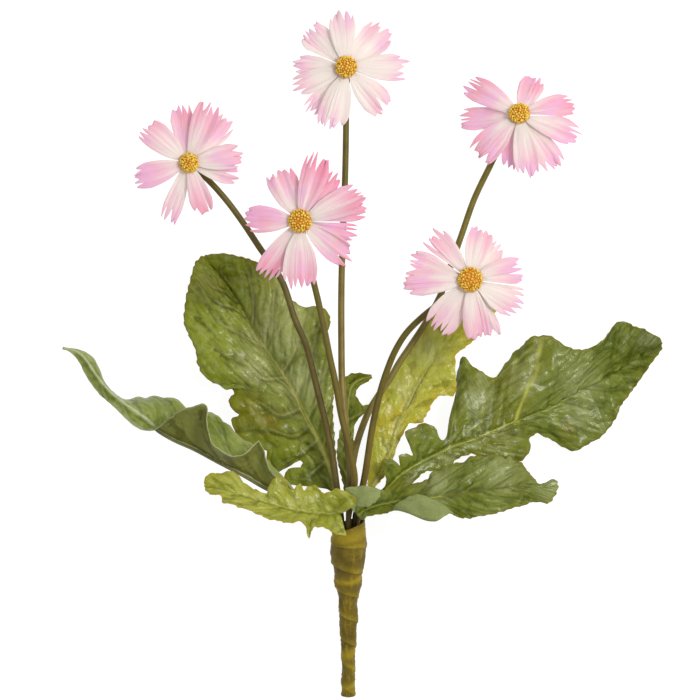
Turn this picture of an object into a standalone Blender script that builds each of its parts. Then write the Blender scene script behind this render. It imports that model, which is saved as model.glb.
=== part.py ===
"""A daisy bush of the kind used in flower arranging: five fringed pink daisies and seven lobed leaves
on wired stems, bound together with tape into one tapering pick.

It lies face up on a surface. Metres, +Z up, +Y from the pick's cut end to the blooms, and the blooms
look towards +Z. The origin is on the surface, under the middle of the whole bush. Sizes and places
below are in millimetres and are turned to metres where a mesh is made.
"""

import math
import random
from dataclasses import dataclass

import bpy
import numpy as np

MM = 0.001
BUSH_LENGTH = 341.0
BUSH_WIDTH = 298.0
GROUND_DEPTH = 20.0
SHARP = math.radians(40)

# The pick: the taped bundle that the stems and stalks stand in
PICK_X = -7.35
PICK_TOP_Y = -84.5
PICK_END_Y = -BUSH_LENGTH / 2
PICK_END_HEIGHT = 2.75
PICK_TILT = math.radians(17.7)
TAPE_PITCH = 13.0
TAPE_STEP = 0.55
# Below this radius the tape was stretched thinner, so its step is lower
TAPE_FULL_RADIUS = 6.0
PICK_SIDES = 16
PICK_ROW = 3.1
# Distance from the rim along the axis, and the radius there
PICK_PROFILE = (
    (0.0, 7.9), (6.0, 8.4), (14.0, 8.6), (19.0, 7.9), (24.0, 6.9), (30.0, 6.6), (35.0, 5.3),
    (41.0, 4.6), (52.0, 4.2), (68.0, 3.5), (80.0, 3.2), (90.5, 3.3),
)

# Stems and stalks where they stand in the pick
FIT_GAP = 0.3
STEM_ROOT_RADIUS = 1.2
STEM_RADIUS = 1.75
STEM_RING = 3.3
STEM_DEPTH = 28.0
LEADER_DEPTH = 86.0
STEM_SWELL = 0.08
STEM_TAPER = 0.12
STEM_ROUNDNESS = 2
# Shares of a stem's length at which it has a ring of points, closer where it turns up to the bloom
STEM_SHARES = (*np.linspace(0.0, 0.9, 15), 0.93, 0.955, 0.975, 0.99, 1.0)
# Straight lengths out of the pick, and into a calyx
PICK_LEAD = 3.0
NECK_LEAD = 2.5
STALK_RADIUS = 0.9
STALK_RING = 6.5
STALK_DEPTH = 14.0
STALK_ROUNDNESS = 1
HOLE_OVERRUN = 2.0
HOLE_ROUNDNESS = 3

# A bloom, in millimetres from the face of its hub along its own axis
PEG_RADIUS = 0.9
HUB_HOLE = 1.3
HUB_RADIUS = 3.3
CALYX_RADIUS = 3.0
CALYX_LENGTH = 7.0
CALYX_TOP = -1.35
CALYX_SHAPE = ((0.35, 0.62), (0.75, 0.92), (1.0, 1.0))
PEG_STEP = 0.05
PEG_TOP = 3.2
BACK_LAYER = -0.7
FRONT_LAYER = 0.2
EYE_BASE = 0.8
EYE_HEIGHT = 4.3
EYE_BEAD = 0.55
EYE_SIDES = 18
# The dome from its foot to its crown, as shares of its radius and height
EYE_DOME = ((0.88, 0.0), (0.99, 0.20), (1.0, 0.42), (0.90, 0.65), (0.70, 0.84), (0.42, 0.96))
# Every third point of a row is a bead, on the rows above the foot
BEAD_SPACING = 3
BEADS_FROM_ROW = 3
SOCKET_ROOM = 0.4
HUB_SIDES = 10
PETAL_THICKNESS = 0.6
# Half the width at a share of the length, as a share of the whole width
PETAL_WIDTHS = ((0.40, 0.38), (0.68, 0.49))
ROOT_WIDTH = 4.0
PLEAT = 0.2
PETAL_GAP = 0.3
# Between two petals the hub's rim dips to this share of its radius
RIM_DIP = 0.92
# A petal takes at most this much of the turn on each side, in degrees
WIDEST_HALF = 60.0
# A petal rises from the hub, droops by its bloom's droop, and differs from its neighbours by up to a lift
PETAL_RISE = 2.4
PETAL_LIFT = 0.6
PETAL_CUP = 0.1
# How far the back layer lies below the front one outside the hub, and how soon
PARTING = 2.6
PARTING_PACE = 1.6
# The fringe: its teeth and notches, as shares of the petal's length
TOOTH_WIDTH = 2.7
FEWEST_TEETH = 3
TOOTH_FALL = 0.10
TOOTH_VARIES = 0.06
NOTCH_REACH = 0.79
NOTCH_FALL = 0.06
NOTCH_VARIES = 0.02

# A leaf. One whose rib comes this low rests on the surface
LEAF_THICKNESS = 0.7
REST_REACH = 1.2
ROW_GAP = 0.016
LAST_ROW = 0.985
# Places across a blade, from its left margin to its right one
BLADE_COLUMNS = (-1.0, -0.5, 0.0, 0.5, 1.0)
# The rib starts and ends at these shares of the blade, sunk into its back
RIB_START = 0.03
RIB_REACH = 0.88
RIB_SINK = 0.55
RIB_TAPER = 0.35
RIB_STATIONS = 13
# Shares of the stalk and rib together at which they have a ring of points
STALK_SHARES = (*np.linspace(0.0, 0.24, 6), *np.linspace(0.29, 1.0, RIB_STATIONS))
# Shares this near each other give a rib's direction
NEAR = 0.002


@dataclass
class Bloom:
    """A flower head: where its hub is, which way it looks, its two layers and the way its stem comes.

    A layer is a row of petals, each as (azimuth in degrees, length, width).
    """

    hub: tuple
    face: tuple
    eye: float
    droop: float
    front: tuple
    back: tuple
    root: tuple
    route: tuple


@dataclass
class Leaf:
    """A leaf: the angle of its stalk's hole, its rib, and its two margins as (share of rib, x, y, z)."""

    hole: float
    rib: tuple
    left: tuple
    right: tuple
    arch: float
    colour: str


BLOOMS = {
    "top": Bloom(
        hub=(-8.4, 143.6, 50.0), face=(-0.04, 0.16, 1.0), eye=5.3, droop=3.4,
        front=((0, 31, 14), (95, 29, 13.5), (201, 29, 11.5), (255, 32, 16), (312, 29.5, 15)),
        back=((47, 29, 16.5), (134, 29, 15.5), (174, 27, 10.5), (229, 30, 9.5)),
        root=(0.0, 0.0),
        route=((-6.5, -72, 34.8), (-6.5, -57, 37.5), (-8, -42, 38.5), (-9.5, -27, 38.5),
               (-10.5, -12, 38), (-10.8, 8, 37), (-10.8, 33, 36), (-10, 63, 36), (-9, 88, 36),
               (-8.5, 113, 36.5), (-8.4, 130, 37.5)),
    ),
    "left": Bloom(
        hub=(-86.7, 96.0, 58.0), face=(0.03, 0.0, 1.0), eye=4.8, droop=2.2,
        front=((70, 32.5, 13), (9, 27, 13), (288, 27, 11.5), (197, 28.5, 13), (140, 29, 14)),
        back=((99, 30, 11.5), (47, 31, 11.5), (345, 26, 11), (250, 32, 10)),
        root=(-STEM_RING, 0.0),
        route=((-12, -74.5, 33.2), (-13.6, -62, 35.2), (-15.5, -48.8, 36.2), (-19, -32, 37),
               (-22.8, -16.5, 37.6), (-24.9, -8, 38), (-28.8, 6.5, 38.6), (-33.4, 17, 39.2),
               (-41, 38.5, 40), (-52.2, 55, 41), (-59.5, 66, 42), (-68, 77.5, 43.6),
               (-77, 87.5, 46)),
    ),
    "right_top": Bloom(
        hub=(78.0, 120.0, 48.0), face=(-0.1, 0.42, 0.9), eye=5.2, droop=6.5,
        front=((14, 28, 13), (337, 32, 13.5), (277, 33, 12.5), (224, 31, 16.5), (142, 34, 14)),
        back=((73, 26.5, 13), (304, 33, 13), (176, 31.5, 13), (255, 27, 9)),
        root=(0.0, -STEM_RING),
        route=((-6.6, -72, 29.8), (-6, -62, 30.8), (-4.8, -52, 31.6), (-3.2, -44.5, 32.2),
               (-0.5, -36, 32.8), (3.5, -26.5, 33.4), (8.5, -18.5, 33.8), (14, -10.5, 34),
               (18, -3.5, 34.2), (23.7, 5, 34.4), (31.2, 16.5, 34.6), (38.5, 30, 34.8),
               (44.5, 47, 35), (49.4, 61, 35.2), (55.8, 79, 35.6), (62, 92, 36.2),
               (69, 105, 37.4)),
    ),
    "middle": Bloom(
        hub=(-31.2, 66.8, 76.0), face=(-0.03, 0.06, 1.0), eye=5.7, droop=2.6,
        front=((73, 34, 14), (24, 35, 15), (322, 31, 13.5), (270, 33, 17.5), (177, 28, 14)),
        back=((52, 31, 9), (10, 34, 10), (348, 30, 9.5), (233, 33.5, 13), (114, 29, 15.5)),
        root=(0.0, STEM_RING),
        route=((-6.2, -74, 37.4), (-4.2, -62, 41.6), (-5.5, -52.5, 45), (-8, -41, 48),
               (-10.8, -29.5, 50), (-13.6, -13.8, 52.4), (-16.2, -2.2, 54), (-19, 12, 56),
               (-22, 26, 58), (-25.6, 41, 60.5), (-28.6, 54, 63)),
    ),
    "right_low": Bloom(
        hub=(53.0, 37.8, 70.0), face=(0.05, 0.06, 1.0), eye=6.1, droop=2.8,
        front=((76, 27, 13.5), (12, 27, 14.5), (334, 29, 17), (278, 31, 13.5), (183, 33.5, 13.5)),
        back=((47, 25, 9), (296, 31.5, 8.5), (236, 31, 17), (158, 32, 10), (130, 31, 14)),
        root=(STEM_RING, 0.0),
        route=((-2.4, -74.5, 34.4), (0.7, -61, 38), (2.5, -49.5, 41), (4.2, -38, 43.6),
               (6.5, -26.5, 46), (9.4, -15, 48.4), (12.2, -6.5, 50), (15.8, 2.2, 51.8),
               (21, 10.8, 54), (29.5, 19.5, 56), (40.5, 28, 57.4)),
    ),
}

LEAVES = {
    "leaf_upper_left": Leaf(
        hole=222, arch=0.10, colour="leaf_green",
        rib=((-13, -68, 24), (-16.5, -57, 20), (-22.5, -42, 15), (-28.5, -31, 11.5), (-38, -12.5, 6.5),
             (-50.5, 5.8, 2.4), (-61, 23.5, 0.75), (-71.8, 39, 1.9), (-80, 50, 8)),
        left=((0, -14.2, -68.3, 24.4), (0.03, -20.5, -66, 24), (0.05, -25.5, -63.2, 24),
              (0.068, -31, -63.5, 23.5), (0.088, -32.5, -58.5, 23), (0.108, -31.5, -54.8, 22),
              (0.132, -36.5, -54.6, 21.5), (0.152, -40, -56.2, 21), (0.172, -44.5, -56.4, 20),
              (0.192, -47, -53, 19.5), (0.212, -47, -48.5, 19), (0.235, -52.5, -45.5, 18.5),
              (0.258, -59, -43, 18), (0.28, -64, -39, 17.5), (0.302, -66, -32, 16),
              (0.33, -67.8, -22.5, 17), (0.355, -65, -18, 13), (0.38, -70.5, -15.5, 12),
              (0.42, -79.5, -9, 13), (0.45, -82.8, -4.5, 14), (0.49, -84, 3, 11),
              (0.56, -89.5, 15.5, 9), (0.62, -89.5, 26, 8), (0.70, -87, 37, 10),
              (0.82, -84.5, 45.5, 12), (1.0, -81.2, 50.2, 9)),
        right=((0, -11.8, -68, 24.4), (0.05, -12.5, -61, 22.5), (0.13, -13.5, -49.5, 20),
               (0.22, -14.5, -37, 17), (0.30, -15, -24.5, 15), (0.36, -14, -14.5, 13),
               (0.43, -15, -4.5, 12), (0.50, -17.5, 5.5, 12), (0.54, -18, 11.5, 13),
               (0.565, -16.5, 17, 15), (0.59, -17.5, 22, 13), (0.61, -20.5, 23.8, 11),
               (0.66, -31.5, 25, 8), (0.69, -36, 28.5, 7), (0.73, -39.5, 34.5, 6),
               (0.77, -43, 40.5, 5), (0.81, -49, 45, 5), (0.85, -56.5, 48.5, 7),
               (0.89, -63, 50.5, 9), (0.94, -70, 51.5, 10), (1.0, -79, 50.8, 9)),
    ),
    "leaf_far_left": Leaf(
        hole=185, arch=0.08, colour="leaf_green",
        rib=((-31.5, -72.5, 36), (-45.8, -67.3, 38.5), (-61.2, -58.7, 40), (-72.7, -52.7, 40.5),
             (-84.2, -46.5, 40.5), (-95.5, -41.4, 39.5), (-104.5, -37.8, 38), (-110.5, -36.6, 37),
             (-116.7, -34.5, 35.6), (-122.8, -29.9, 34), (-128.2, -23.3, 32), (-133.5, -16, 30),
             (-138.5, -8, 28), (-142, -2, 26.5), (-146.5, 2.5, 25.5), (-150.3, 3.8, 25)),
        left=((0, -32, -72.5, 37.2), (0.05, -35.5, -64, 41), (0.09, -39.5, -53, 44.5),
              (0.12, -43, -56.5, 48), (0.15, -48.5, -48, 46), (0.19, -51.6, -42, 45.5),
              (0.23, -57, -47.5, 49), (0.27, -64.5, -49.8, 52), (0.31, -72.2, -46.7, 54.5),
              (0.35, -76.5, -41, 56), (0.38, -77.8, -34, 56.5), (0.405, -77.5, -27.5, 56),
              (0.43, -79.5, -24.2, 55), (0.47, -84.5, -25, 54), (0.52, -91, -26.8, 53),
              (0.57, -99, -28.5, 51), (0.61, -104, -29.2, 50), (0.65, -110.5, -28.5, 48),
              (0.70, -116, -26, 45), (0.75, -121, -21.5, 42), (0.80, -127, -16, 39),
              (0.85, -133, -11, 36), (0.885, -139.5, -9, 33), (0.93, -141, -3, 30),
              (0.97, -144.5, 1, 27), (1.0, -150.2, 3.2, 25.5)),
        right=((0, -31, -71.2, 35.4), (0.08, -39, -61, 30), (0.16, -47.5, -53, 28),
               (0.22, -54, -45, 27), (0.28, -60, -42, 26), (0.34, -67, -35.2, 24),
               (0.40, -74.5, -29, 22), (0.46, -81.5, -28, 22), (0.52, -88.5, -27, 23),
               (0.56, -93.5, -22, 22), (0.60, -100, -20.5, 21), (0.65, -110.5, -21, 21),
               (0.70, -120.5, -22, 23), (0.75, -126, -18, 25), (0.80, -129.5, -13, 26),
               (0.85, -131.5, -7, 25), (0.89, -134, -2.5, 23), (0.93, -137.5, 0.8, 22),
               (0.97, -142.5, 3, 23), (1.0, -150.2, 4.4, 24.5)),
    ),
    "leaf_low_left": Leaf(
        hole=140, arch=0.06, colour="leaf_lime",
        rib=((-12, -78, 41), (-17.5, -78, 45), (-25, -78, 49), (-33.5, -77, 53), (-43.5, -74.5, 56),
             (-53, -71.8, 58), (-61.5, -69, 59.5), (-69.5, -66.5, 60), (-78.5, -64, 59)),
        left=((0, -10.5, -82, 43), (0.04, -8.5, -89, 44), (0.08, -12.5, -89, 46),
              (0.13, -16.5, -87, 49), (0.20, -22.5, -85.2, 54), (0.225, -25, -85.8, 56),
              (0.245, -27, -91, 58), (0.265, -28.5, -85.5, 58), (0.35, -36.5, -82.8, 61),
              (0.45, -45, -81, 64), (0.55, -53, -78.2, 66), (0.65, -59.8, -75.5, 67),
              (0.73, -65.8, -73.5, 67.5), (0.78, -69.8, -73, 68), (0.82, -70.5, -69.8, 66.5),
              (0.89, -75, -69, 65), (0.95, -78, -67, 62), (1.0, -79, -64.8, 59.5)),
        right=((0, -5.5, -75.5, 46), (0.03, -3, -72, 47.5), (0.06, -6.2, -68.8, 48),
               (0.09, -10, -66.8, 48), (0.11, -13, -66, 48), (0.15, -16.5, -67.8, 47.5),
               (0.20, -20.5, -68, 47), (0.25, -24.2, -64, 46.5), (0.28, -27.5, -65, 47),
               (0.31, -29, -66.8, 48.5), (0.35, -31.5, -63.8, 49), (0.40, -34.5, -66.5, 51),
               (0.44, -37, -65.5, 53), (0.47, -38.5, -61.8, 54.5), (0.505, -42, -60.4, 55.5),
               (0.54, -45.8, -62.5, 56), (0.57, -47, -67.5, 56), (0.64, -53, -66.5, 56.5),
               (0.70, -58.5, -63.5, 56), (0.78, -63, -58.2, 55), (0.85, -69, -57.8, 54.5),
               (0.91, -74.5, -58.5, 55), (0.96, -78.2, -60, 57), (1.0, -79, -63.5, 58.8)),
    ),
    "leaf_low_right": Leaf(
        hole=40, arch=0.08, colour="leaf_green",
        rib=((-2.5, -79.5, 40), (3.5, -76, 42.5), (13.5, -73.5, 45.5), (23.5, -72, 48.5),
             (33.5, -71, 51), (46, -69.5, 53), (58.5, -67.5, 54), (71, -65.8, 54), (81, -65, 53),
             (88.5, -65.5, 52), (96.5, -64, 50)),
        left=((0, -5.5, -76, 41.5), (0.03, -9.5, -65.5, 44.6), (0.07, -3.5, -63.8, 44.8),
              (0.12, 3.5, -64.2, 44.8), (0.17, 10, -66.5, 44.5), (0.21, 14.5, -65, 44),
              (0.26, 20.5, -62, 43.5), (0.32, 27, -62, 43), (0.38, 34, -58.2, 42),
              (0.46, 44, -54, 41), (0.53, 52.5, -52, 41), (0.60, 61, -50.2, 42),
              (0.66, 67.5, -49.5, 43), (0.72, 74.8, -51, 44), (0.79, 81, -56, 46),
              (0.85, 85.4, -62, 48), (0.90, 88.5, -64, 49.5), (0.95, 94, -61.5, 49.5),
              (1.0, 97, -63, 50)),
        right=((0, -0.5, -82, 41), (0.05, 2.5, -80, 44), (0.12, 11, -78.5, 48),
               (0.19, 16.5, -77.5, 52), (0.25, 23.5, -80, 58), (0.30, 31, -83.5, 62),
               (0.35, 37, -84.2, 64), (0.40, 41.5, -80.5, 63), (0.43, 44, -77, 59),
               (0.465, 47.5, -80, 60), (0.53, 53, -80.5, 62), (0.62, 63.5, -78.4, 63),
               (0.70, 77.5, -74.8, 61), (0.78, 86, -72.5, 59), (0.83, 91.5, -73.5, 58),
               (0.90, 94.5, -71, 55), (0.96, 96.5, -67.5, 52), (1.0, 97.3, -64.8, 50.4)),
    ),
    "leaf_far_right": Leaf(
        hole=355, arch=0.09, colour="leaf_green",
        rib=((11, -67, 30), (20.5, -58, 28.5), (27, -54, 27), (43, -46, 23), (58.8, -40.2, 19),
             (74.5, -33.3, 14.5), (88.5, -27.5, 10), (102.3, -20.5, 5), (116, -13.5, 1.5),
             (127, -7.2, 0.75), (142, 2.2, 4.5), (150, 5.5, 9)),
        left=((0, 10.3, -66, 30.6), (0.03, 11.5, -61, 32), (0.05, 9, -53, 33),
              (0.065, 13.5, -51.5, 32), (0.08, 18.5, -55, 30), (0.097, 18, -49.5, 32),
              (0.113, 22.5, -49, 31), (0.125, 25, -50, 29), (0.14, 23.2, -44.2, 30),
              (0.155, 20.8, -38.2, 31), (0.17, 25.5, -36, 30), (0.188, 30.5, -33.3, 29),
              (0.205, 36, -36.5, 27), (0.222, 38.4, -41.6, 25), (0.24, 41.8, -40.5, 24),
              (0.255, 43, -32.5, 22), (0.27, 46, -20.5, 16), (0.285, 47.2, -8, 12),
              (0.30, 49, -1.5, 11), (0.34, 58, -7.5, 13), (0.37, 65.8, -11, 12),
              (0.40, 73, -0.5, 11), (0.43, 80.5, 6.2, 11), (0.455, 87, 9.7, 12),
              (0.472, 93.5, 10.2, 12), (0.49, 99.5, 6.2, 12), (0.54, 106.2, 3.2, 11),
              (0.60, 114, 4.2, 9), (0.65, 120, 7.5, 8), (0.70, 125, 14, 8), (0.74, 130, 17.2, 9),
              (0.80, 136, 15.2, 11), (0.90, 144, 12.2, 13), (0.97, 149, 9, 12),
              (1.0, 150.3, 6.8, 10)),
        right=((0, 12.5, -68.5, 30.6), (0.08, 21, -64.5, 30), (0.17, 33.5, -61, 27),
               (0.25, 46, -57, 24), (0.33, 58.5, -55, 21), (0.38, 68.5, -55, 18),
               (0.42, 76, -54, 15), (0.45, 81, -51, 13), (0.475, 83.2, -46, 11),
               (0.49, 83.5, -41.5, 10), (0.51, 87, -39.2, 9), (0.54, 92.5, -41.2, 8),
               (0.57, 98.5, -45.2, 6), (0.60, 104.3, -47.7, 5), (0.645, 111, -45.2, 4),
               (0.69, 118, -41.2, 3), (0.74, 125, -34.5, 3), (0.80, 130, -24.5, 4),
               (0.86, 136, -16.5, 5), (0.91, 141.8, -8.5, 7), (0.95, 145.8, -2.7, 9),
               (1.0, 150.4, 3.8, 9.5)),
    ),
    "leaf_upper_right": Leaf(
        hole=318, arch=0.08, colour="leaf_lime",
        rib=((4.5, -65.5, 25), (9.4, -58, 23.5), (14.5, -46.5, 22), (18, -35, 20.5), (22.5, -26, 19),
             (28.8, -13.4, 17), (35.2, -3, 16), (40.9, 2.8, 16), (49.5, 13, 17), (57.5, 20.5, 18),
             (67.5, 28, 20)),
        left=((0, 3.2, -65.5, 25.5), (0.06, 3.5, -59.5, 25), (0.14, 4.8, -52.5, 24),
              (0.23, 6.5, -41, 23), (0.32, 8, -29.5, 22), (0.39, 10.5, -22, 21),
              (0.45, 13, -14.5, 20), (0.50, 17, -6, 19), (0.55, 20.5, 0.5, 19), (0.60, 26.5, 8, 20),
              (0.65, 31, 14, 20), (0.70, 33.5, 20, 20), (0.77, 39, 26, 20), (0.85, 46, 30, 21),
              (0.93, 56, 32, 22), (1.0, 66.8, 29, 20.5)),
        right=((0, 6, -65.8, 25.5), (0.08, 11.8, -58.6, 23.5), (0.14, 15, -51.6, 22.5),
               (0.20, 17.6, -43.6, 21.5), (0.25, 20.6, -38.2, 20.5), (0.29, 23.4, -33.4, 20),
               (0.32, 26, -33.6, 20), (0.35, 29.6, -33.3, 19.5), (0.38, 30.8, -31.2, 19.5),
               (0.42, 33.5, -26.5, 19), (0.46, 36.3, -21.4, 19), (0.49, 39.8, -19.7, 18),
               (0.525, 44.9, -20.2, 17.5), (0.555, 46.7, -17.4, 18), (0.59, 46.7, -12, 19),
               (0.64, 46.4, -4.2, 18), (0.68, 46.6, 0.5, 18), (0.73, 50, 3.3, 18.5),
               (0.79, 55.2, 7.4, 19), (0.85, 60.5, 13, 20), (0.91, 65.5, 20, 21),
               (0.96, 68, 25.5, 21), (1.0, 68.2, 28, 20.5)),
    ),
    "leaf_back": Leaf(
        hole=270, arch=0.06, colour="leaf_green",
        rib=((-7, -74.5, 24.6), (-6.5, -67, 21.6), (-5.5, -54.5, 17), (-5, -42, 13),
             (-5.5, -29.5, 11), (-6.5, -21, 10.5), (-5, -14.5, 11), (-0.5, -11.5, 12),
             (4.5, -10.3, 13)),
        left=((0, -8.2, -74.5, 25), (0.16, -10.5, -62, 21), (0.30, -13, -51, 17.5),
              (0.43, -14.5, -42, 15), (0.57, -12.5, -32, 13), (0.71, -11, -22, 12),
              (0.80, -10.5, -14.5, 12), (0.87, -7.5, -9.5, 12), (0.94, -1.5, -8.5, 13),
              (1.0, 4.3, -9.6, 13.2)),
        right=((0, -5.8, -74.5, 25), (0.15, -2, -62, 20.5), (0.31, 1.5, -52, 16.5),
               (0.40, 0.5, -44.5, 14.5), (0.49, -2.8, -38, 12.5), (0.53, -2.8, -35, 12.5),
               (0.595, 1.5, -29.5, 13.5), (0.655, 5.5, -23.5, 15), (0.70, 0.5, -23, 13),
               (0.75, -3.4, -20, 11.5), (0.81, -2.3, -15.8, 11.5), (0.88, 1, -13.5, 12),
               (0.95, 3.5, -12, 13), (1.0, 4.7, -10.9, 13)),
    ),
}

# Linear colour, roughness
MATERIALS = {
    "petal_pink": ((0.86, 0.50, 0.60), 0.65),
    "eye_yellow": ((0.66, 0.38, 0.04), 0.6),
    "stem_olive": ((0.16, 0.13, 0.035), 0.5),
    "leaf_green": ((0.13, 0.21, 0.045), 0.42),
    "leaf_lime": ((0.32, 0.34, 0.04), 0.45),
    "tape_olive": ((0.25, 0.19, 0.03), 0.6),
}

PICK_AXIS = np.array((0.0, math.cos(PICK_TILT), math.sin(PICK_TILT)))
PICK_SIDE = np.array((1.0, 0.0, 0.0))
PICK_FRONT = np.array((0.0, -math.sin(PICK_TILT), math.cos(PICK_TILT)))
PICK_TOP = np.array((
    PICK_X,
    PICK_TOP_Y,
    PICK_END_HEIGHT + (PICK_TOP_Y - PICK_END_Y) * math.tan(PICK_TILT),
))


def clear_scene():
    """Starts from an empty scene."""
    for thing in list(bpy.data.objects):
        bpy.data.objects.remove(thing)


def material(name):
    """The named plain material."""
    found = bpy.data.materials.get(name)
    if found:
        return found
    colour, roughness = MATERIALS[name]
    made = bpy.data.materials.new(name)
    made.use_nodes = True
    shader = made.node_tree.nodes["Principled BSDF"]
    shader.inputs["Base Color"].default_value = (*colour, 1.0)
    shader.inputs["Roughness"].default_value = roughness
    shader.inputs["Metallic"].default_value = 0.0
    made.diffuse_color = (*colour, 1.0)
    return made


def unit(vector):
    """The vector at length 1."""
    return np.asarray(vector, float) / np.linalg.norm(vector)


def add(name, data, colour):
    """An object of the scene with its material."""
    data.materials.append(material(colour))
    thing = bpy.data.objects.new(name, data)
    bpy.context.scene.collection.objects.link(thing)
    return thing


def solid(name, points, faces, colour):
    """A mesh object from points in millimetres, smooth but for its sharp edges."""
    mesh = bpy.data.meshes.new(name)
    mesh.from_pydata((np.asarray(points) * MM).tolist(), [], faces)
    mesh.shade_smooth()
    mesh.set_sharp_from_angle(angle=SHARP)
    return add(name, mesh, colour)


def sheet(name, points, triangles, thickness, colour):
    """A thin closed sheet. It is made of triangles first, so that both faces are split alike."""
    thing = solid(name, points, triangles, colour)
    skin = thing.modifiers.new("Solidify", "SOLIDIFY")
    skin.thickness = thickness * MM
    skin.offset = 0.0
    return thing


def rod(name, stations, resolution, colour):
    """A closed round rod through (point, radius) stations in millimetres."""
    curve = bpy.data.curves.new(name, "CURVE")
    curve.dimensions = "3D"
    curve.bevel_depth = MM
    curve.bevel_resolution = resolution
    curve.use_fill_caps = True
    spline = curve.splines.new("POLY")
    spline.points.add(len(stations) - 1)
    for knot, (point, radius) in zip(spline.points, stations):
        knot.co = (*(np.asarray(point) * MM), 1.0)
        knot.radius = radius
    spline.use_smooth = True
    return add(name, curve, colour)


def through(knots, values, at):
    """A smooth curve through values at knots, read at the places in at."""
    knots = np.asarray(knots, float)
    values = np.asarray(values, float)
    steps = np.diff(knots)[:, None]
    slopes = np.diff(values, axis=0) / steps
    tangents = np.empty_like(values)
    tangents[0] = slopes[0]
    tangents[-1] = slopes[-1]
    tangents[1:-1] = (slopes[:-1] * steps[1:] + slopes[1:] * steps[:-1]) / (steps[:-1] + steps[1:])
    at = np.clip(np.asarray(at, float), knots[0], knots[-1])
    span = np.clip(np.searchsorted(knots, at, side="right") - 1, 0, len(knots) - 2)
    step = steps[span]
    u = ((at - knots[span])[:, None]) / step
    return (
        (2 * u**3 - 3 * u**2 + 1) * values[span]
        + (u**3 - 2 * u**2 + u) * step * tangents[span]
        + (3 * u**2 - 2 * u**3) * values[span + 1]
        + (u**3 - u**2) * step * tangents[span + 1]
    )


def along(points):
    """The share of the whole length at each point of a polyline."""
    lengths = np.linalg.norm(np.diff(np.asarray(points, float), axis=0), axis=1)
    total = np.concatenate([[0.0], np.cumsum(lengths)])
    return total / total[-1]


def strip(lower, upper):
    """Triangles between two rows of point numbers that run the same way and may differ in count."""
    triangles = []
    i = j = 0
    while i < len(lower) - 1 or j < len(upper) - 1:
        low = (i + 1) / (len(lower) - 1) if i < len(lower) - 1 else 2.0
        high = (j + 1) / (len(upper) - 1) if j < len(upper) - 1 else 2.0
        if low <= high:
            triangles.append((lower[i], upper[j], lower[i + 1]))
            i += 1
        else:
            triangles.append((lower[i], upper[j], upper[j + 1]))
            j += 1
    return triangles


def as_mesh(thing):
    """Turns an object into its own evaluated mesh, as a Boolean needs of a curve."""
    graph = bpy.context.evaluated_depsgraph_get()
    mesh = bpy.data.meshes.new_from_object(thing.evaluated_get(graph))
    made = bpy.data.objects.new(thing.name, mesh)
    bpy.data.objects.remove(thing)
    bpy.context.scene.collection.objects.link(made)
    return made


def boolean(target, others, operation):
    """Joins other mesh objects to the target, or cuts them out of it, and removes them."""
    group = bpy.data.collections.new("operands")
    bpy.context.scene.collection.children.link(group)
    for other in others:
        bpy.context.scene.collection.objects.unlink(other)
        group.objects.link(other)
    modifier = target.modifiers.new("Boolean", "BOOLEAN")
    modifier.operand_type = "COLLECTION"
    modifier.collection = group
    modifier.operation = operation
    graph = bpy.context.evaluated_depsgraph_get()
    mesh = bpy.data.meshes.new_from_object(target.evaluated_get(graph))
    target.modifiers.clear()
    target.data = mesh
    for other in others:
        bpy.data.objects.remove(other)
    bpy.data.collections.remove(group)


def seat(side, front, depth):
    """A point of the pick, from the middle of its rim: sideways, forwards and down its axis."""
    return PICK_TOP + side * PICK_SIDE + front * PICK_FRONT - depth * PICK_AXIS


def stalk_seat(angle):
    """The sideways and forward place of a leaf's hole in the rim."""
    return STALK_RING * math.cos(math.radians(angle)), STALK_RING * math.sin(math.radians(angle))


def hole(side, front, depth, radius):
    """A cutter for a blind hole in the pick's rim."""
    stations = [(seat(side, front, reach), radius) for reach in (depth, -HOLE_OVERRUN)]
    return as_mesh(rod("hole", stations, HOLE_ROUNDNESS, "tape_olive"))


def ground():
    """A block below the surface, which presses flat what rests on it."""
    x, y = BUSH_WIDTH, BUSH_LENGTH
    points = [(i, j, k) for k in (-GROUND_DEPTH, 0.0) for j in (-y, y) for i in (-x, x)]
    faces = [(0, 2, 3, 1), (4, 5, 7, 6), (0, 1, 5, 4), (2, 6, 7, 3), (0, 4, 6, 2), (1, 3, 7, 5)]
    return solid("ground", points, faces, "tape_olive")


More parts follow.
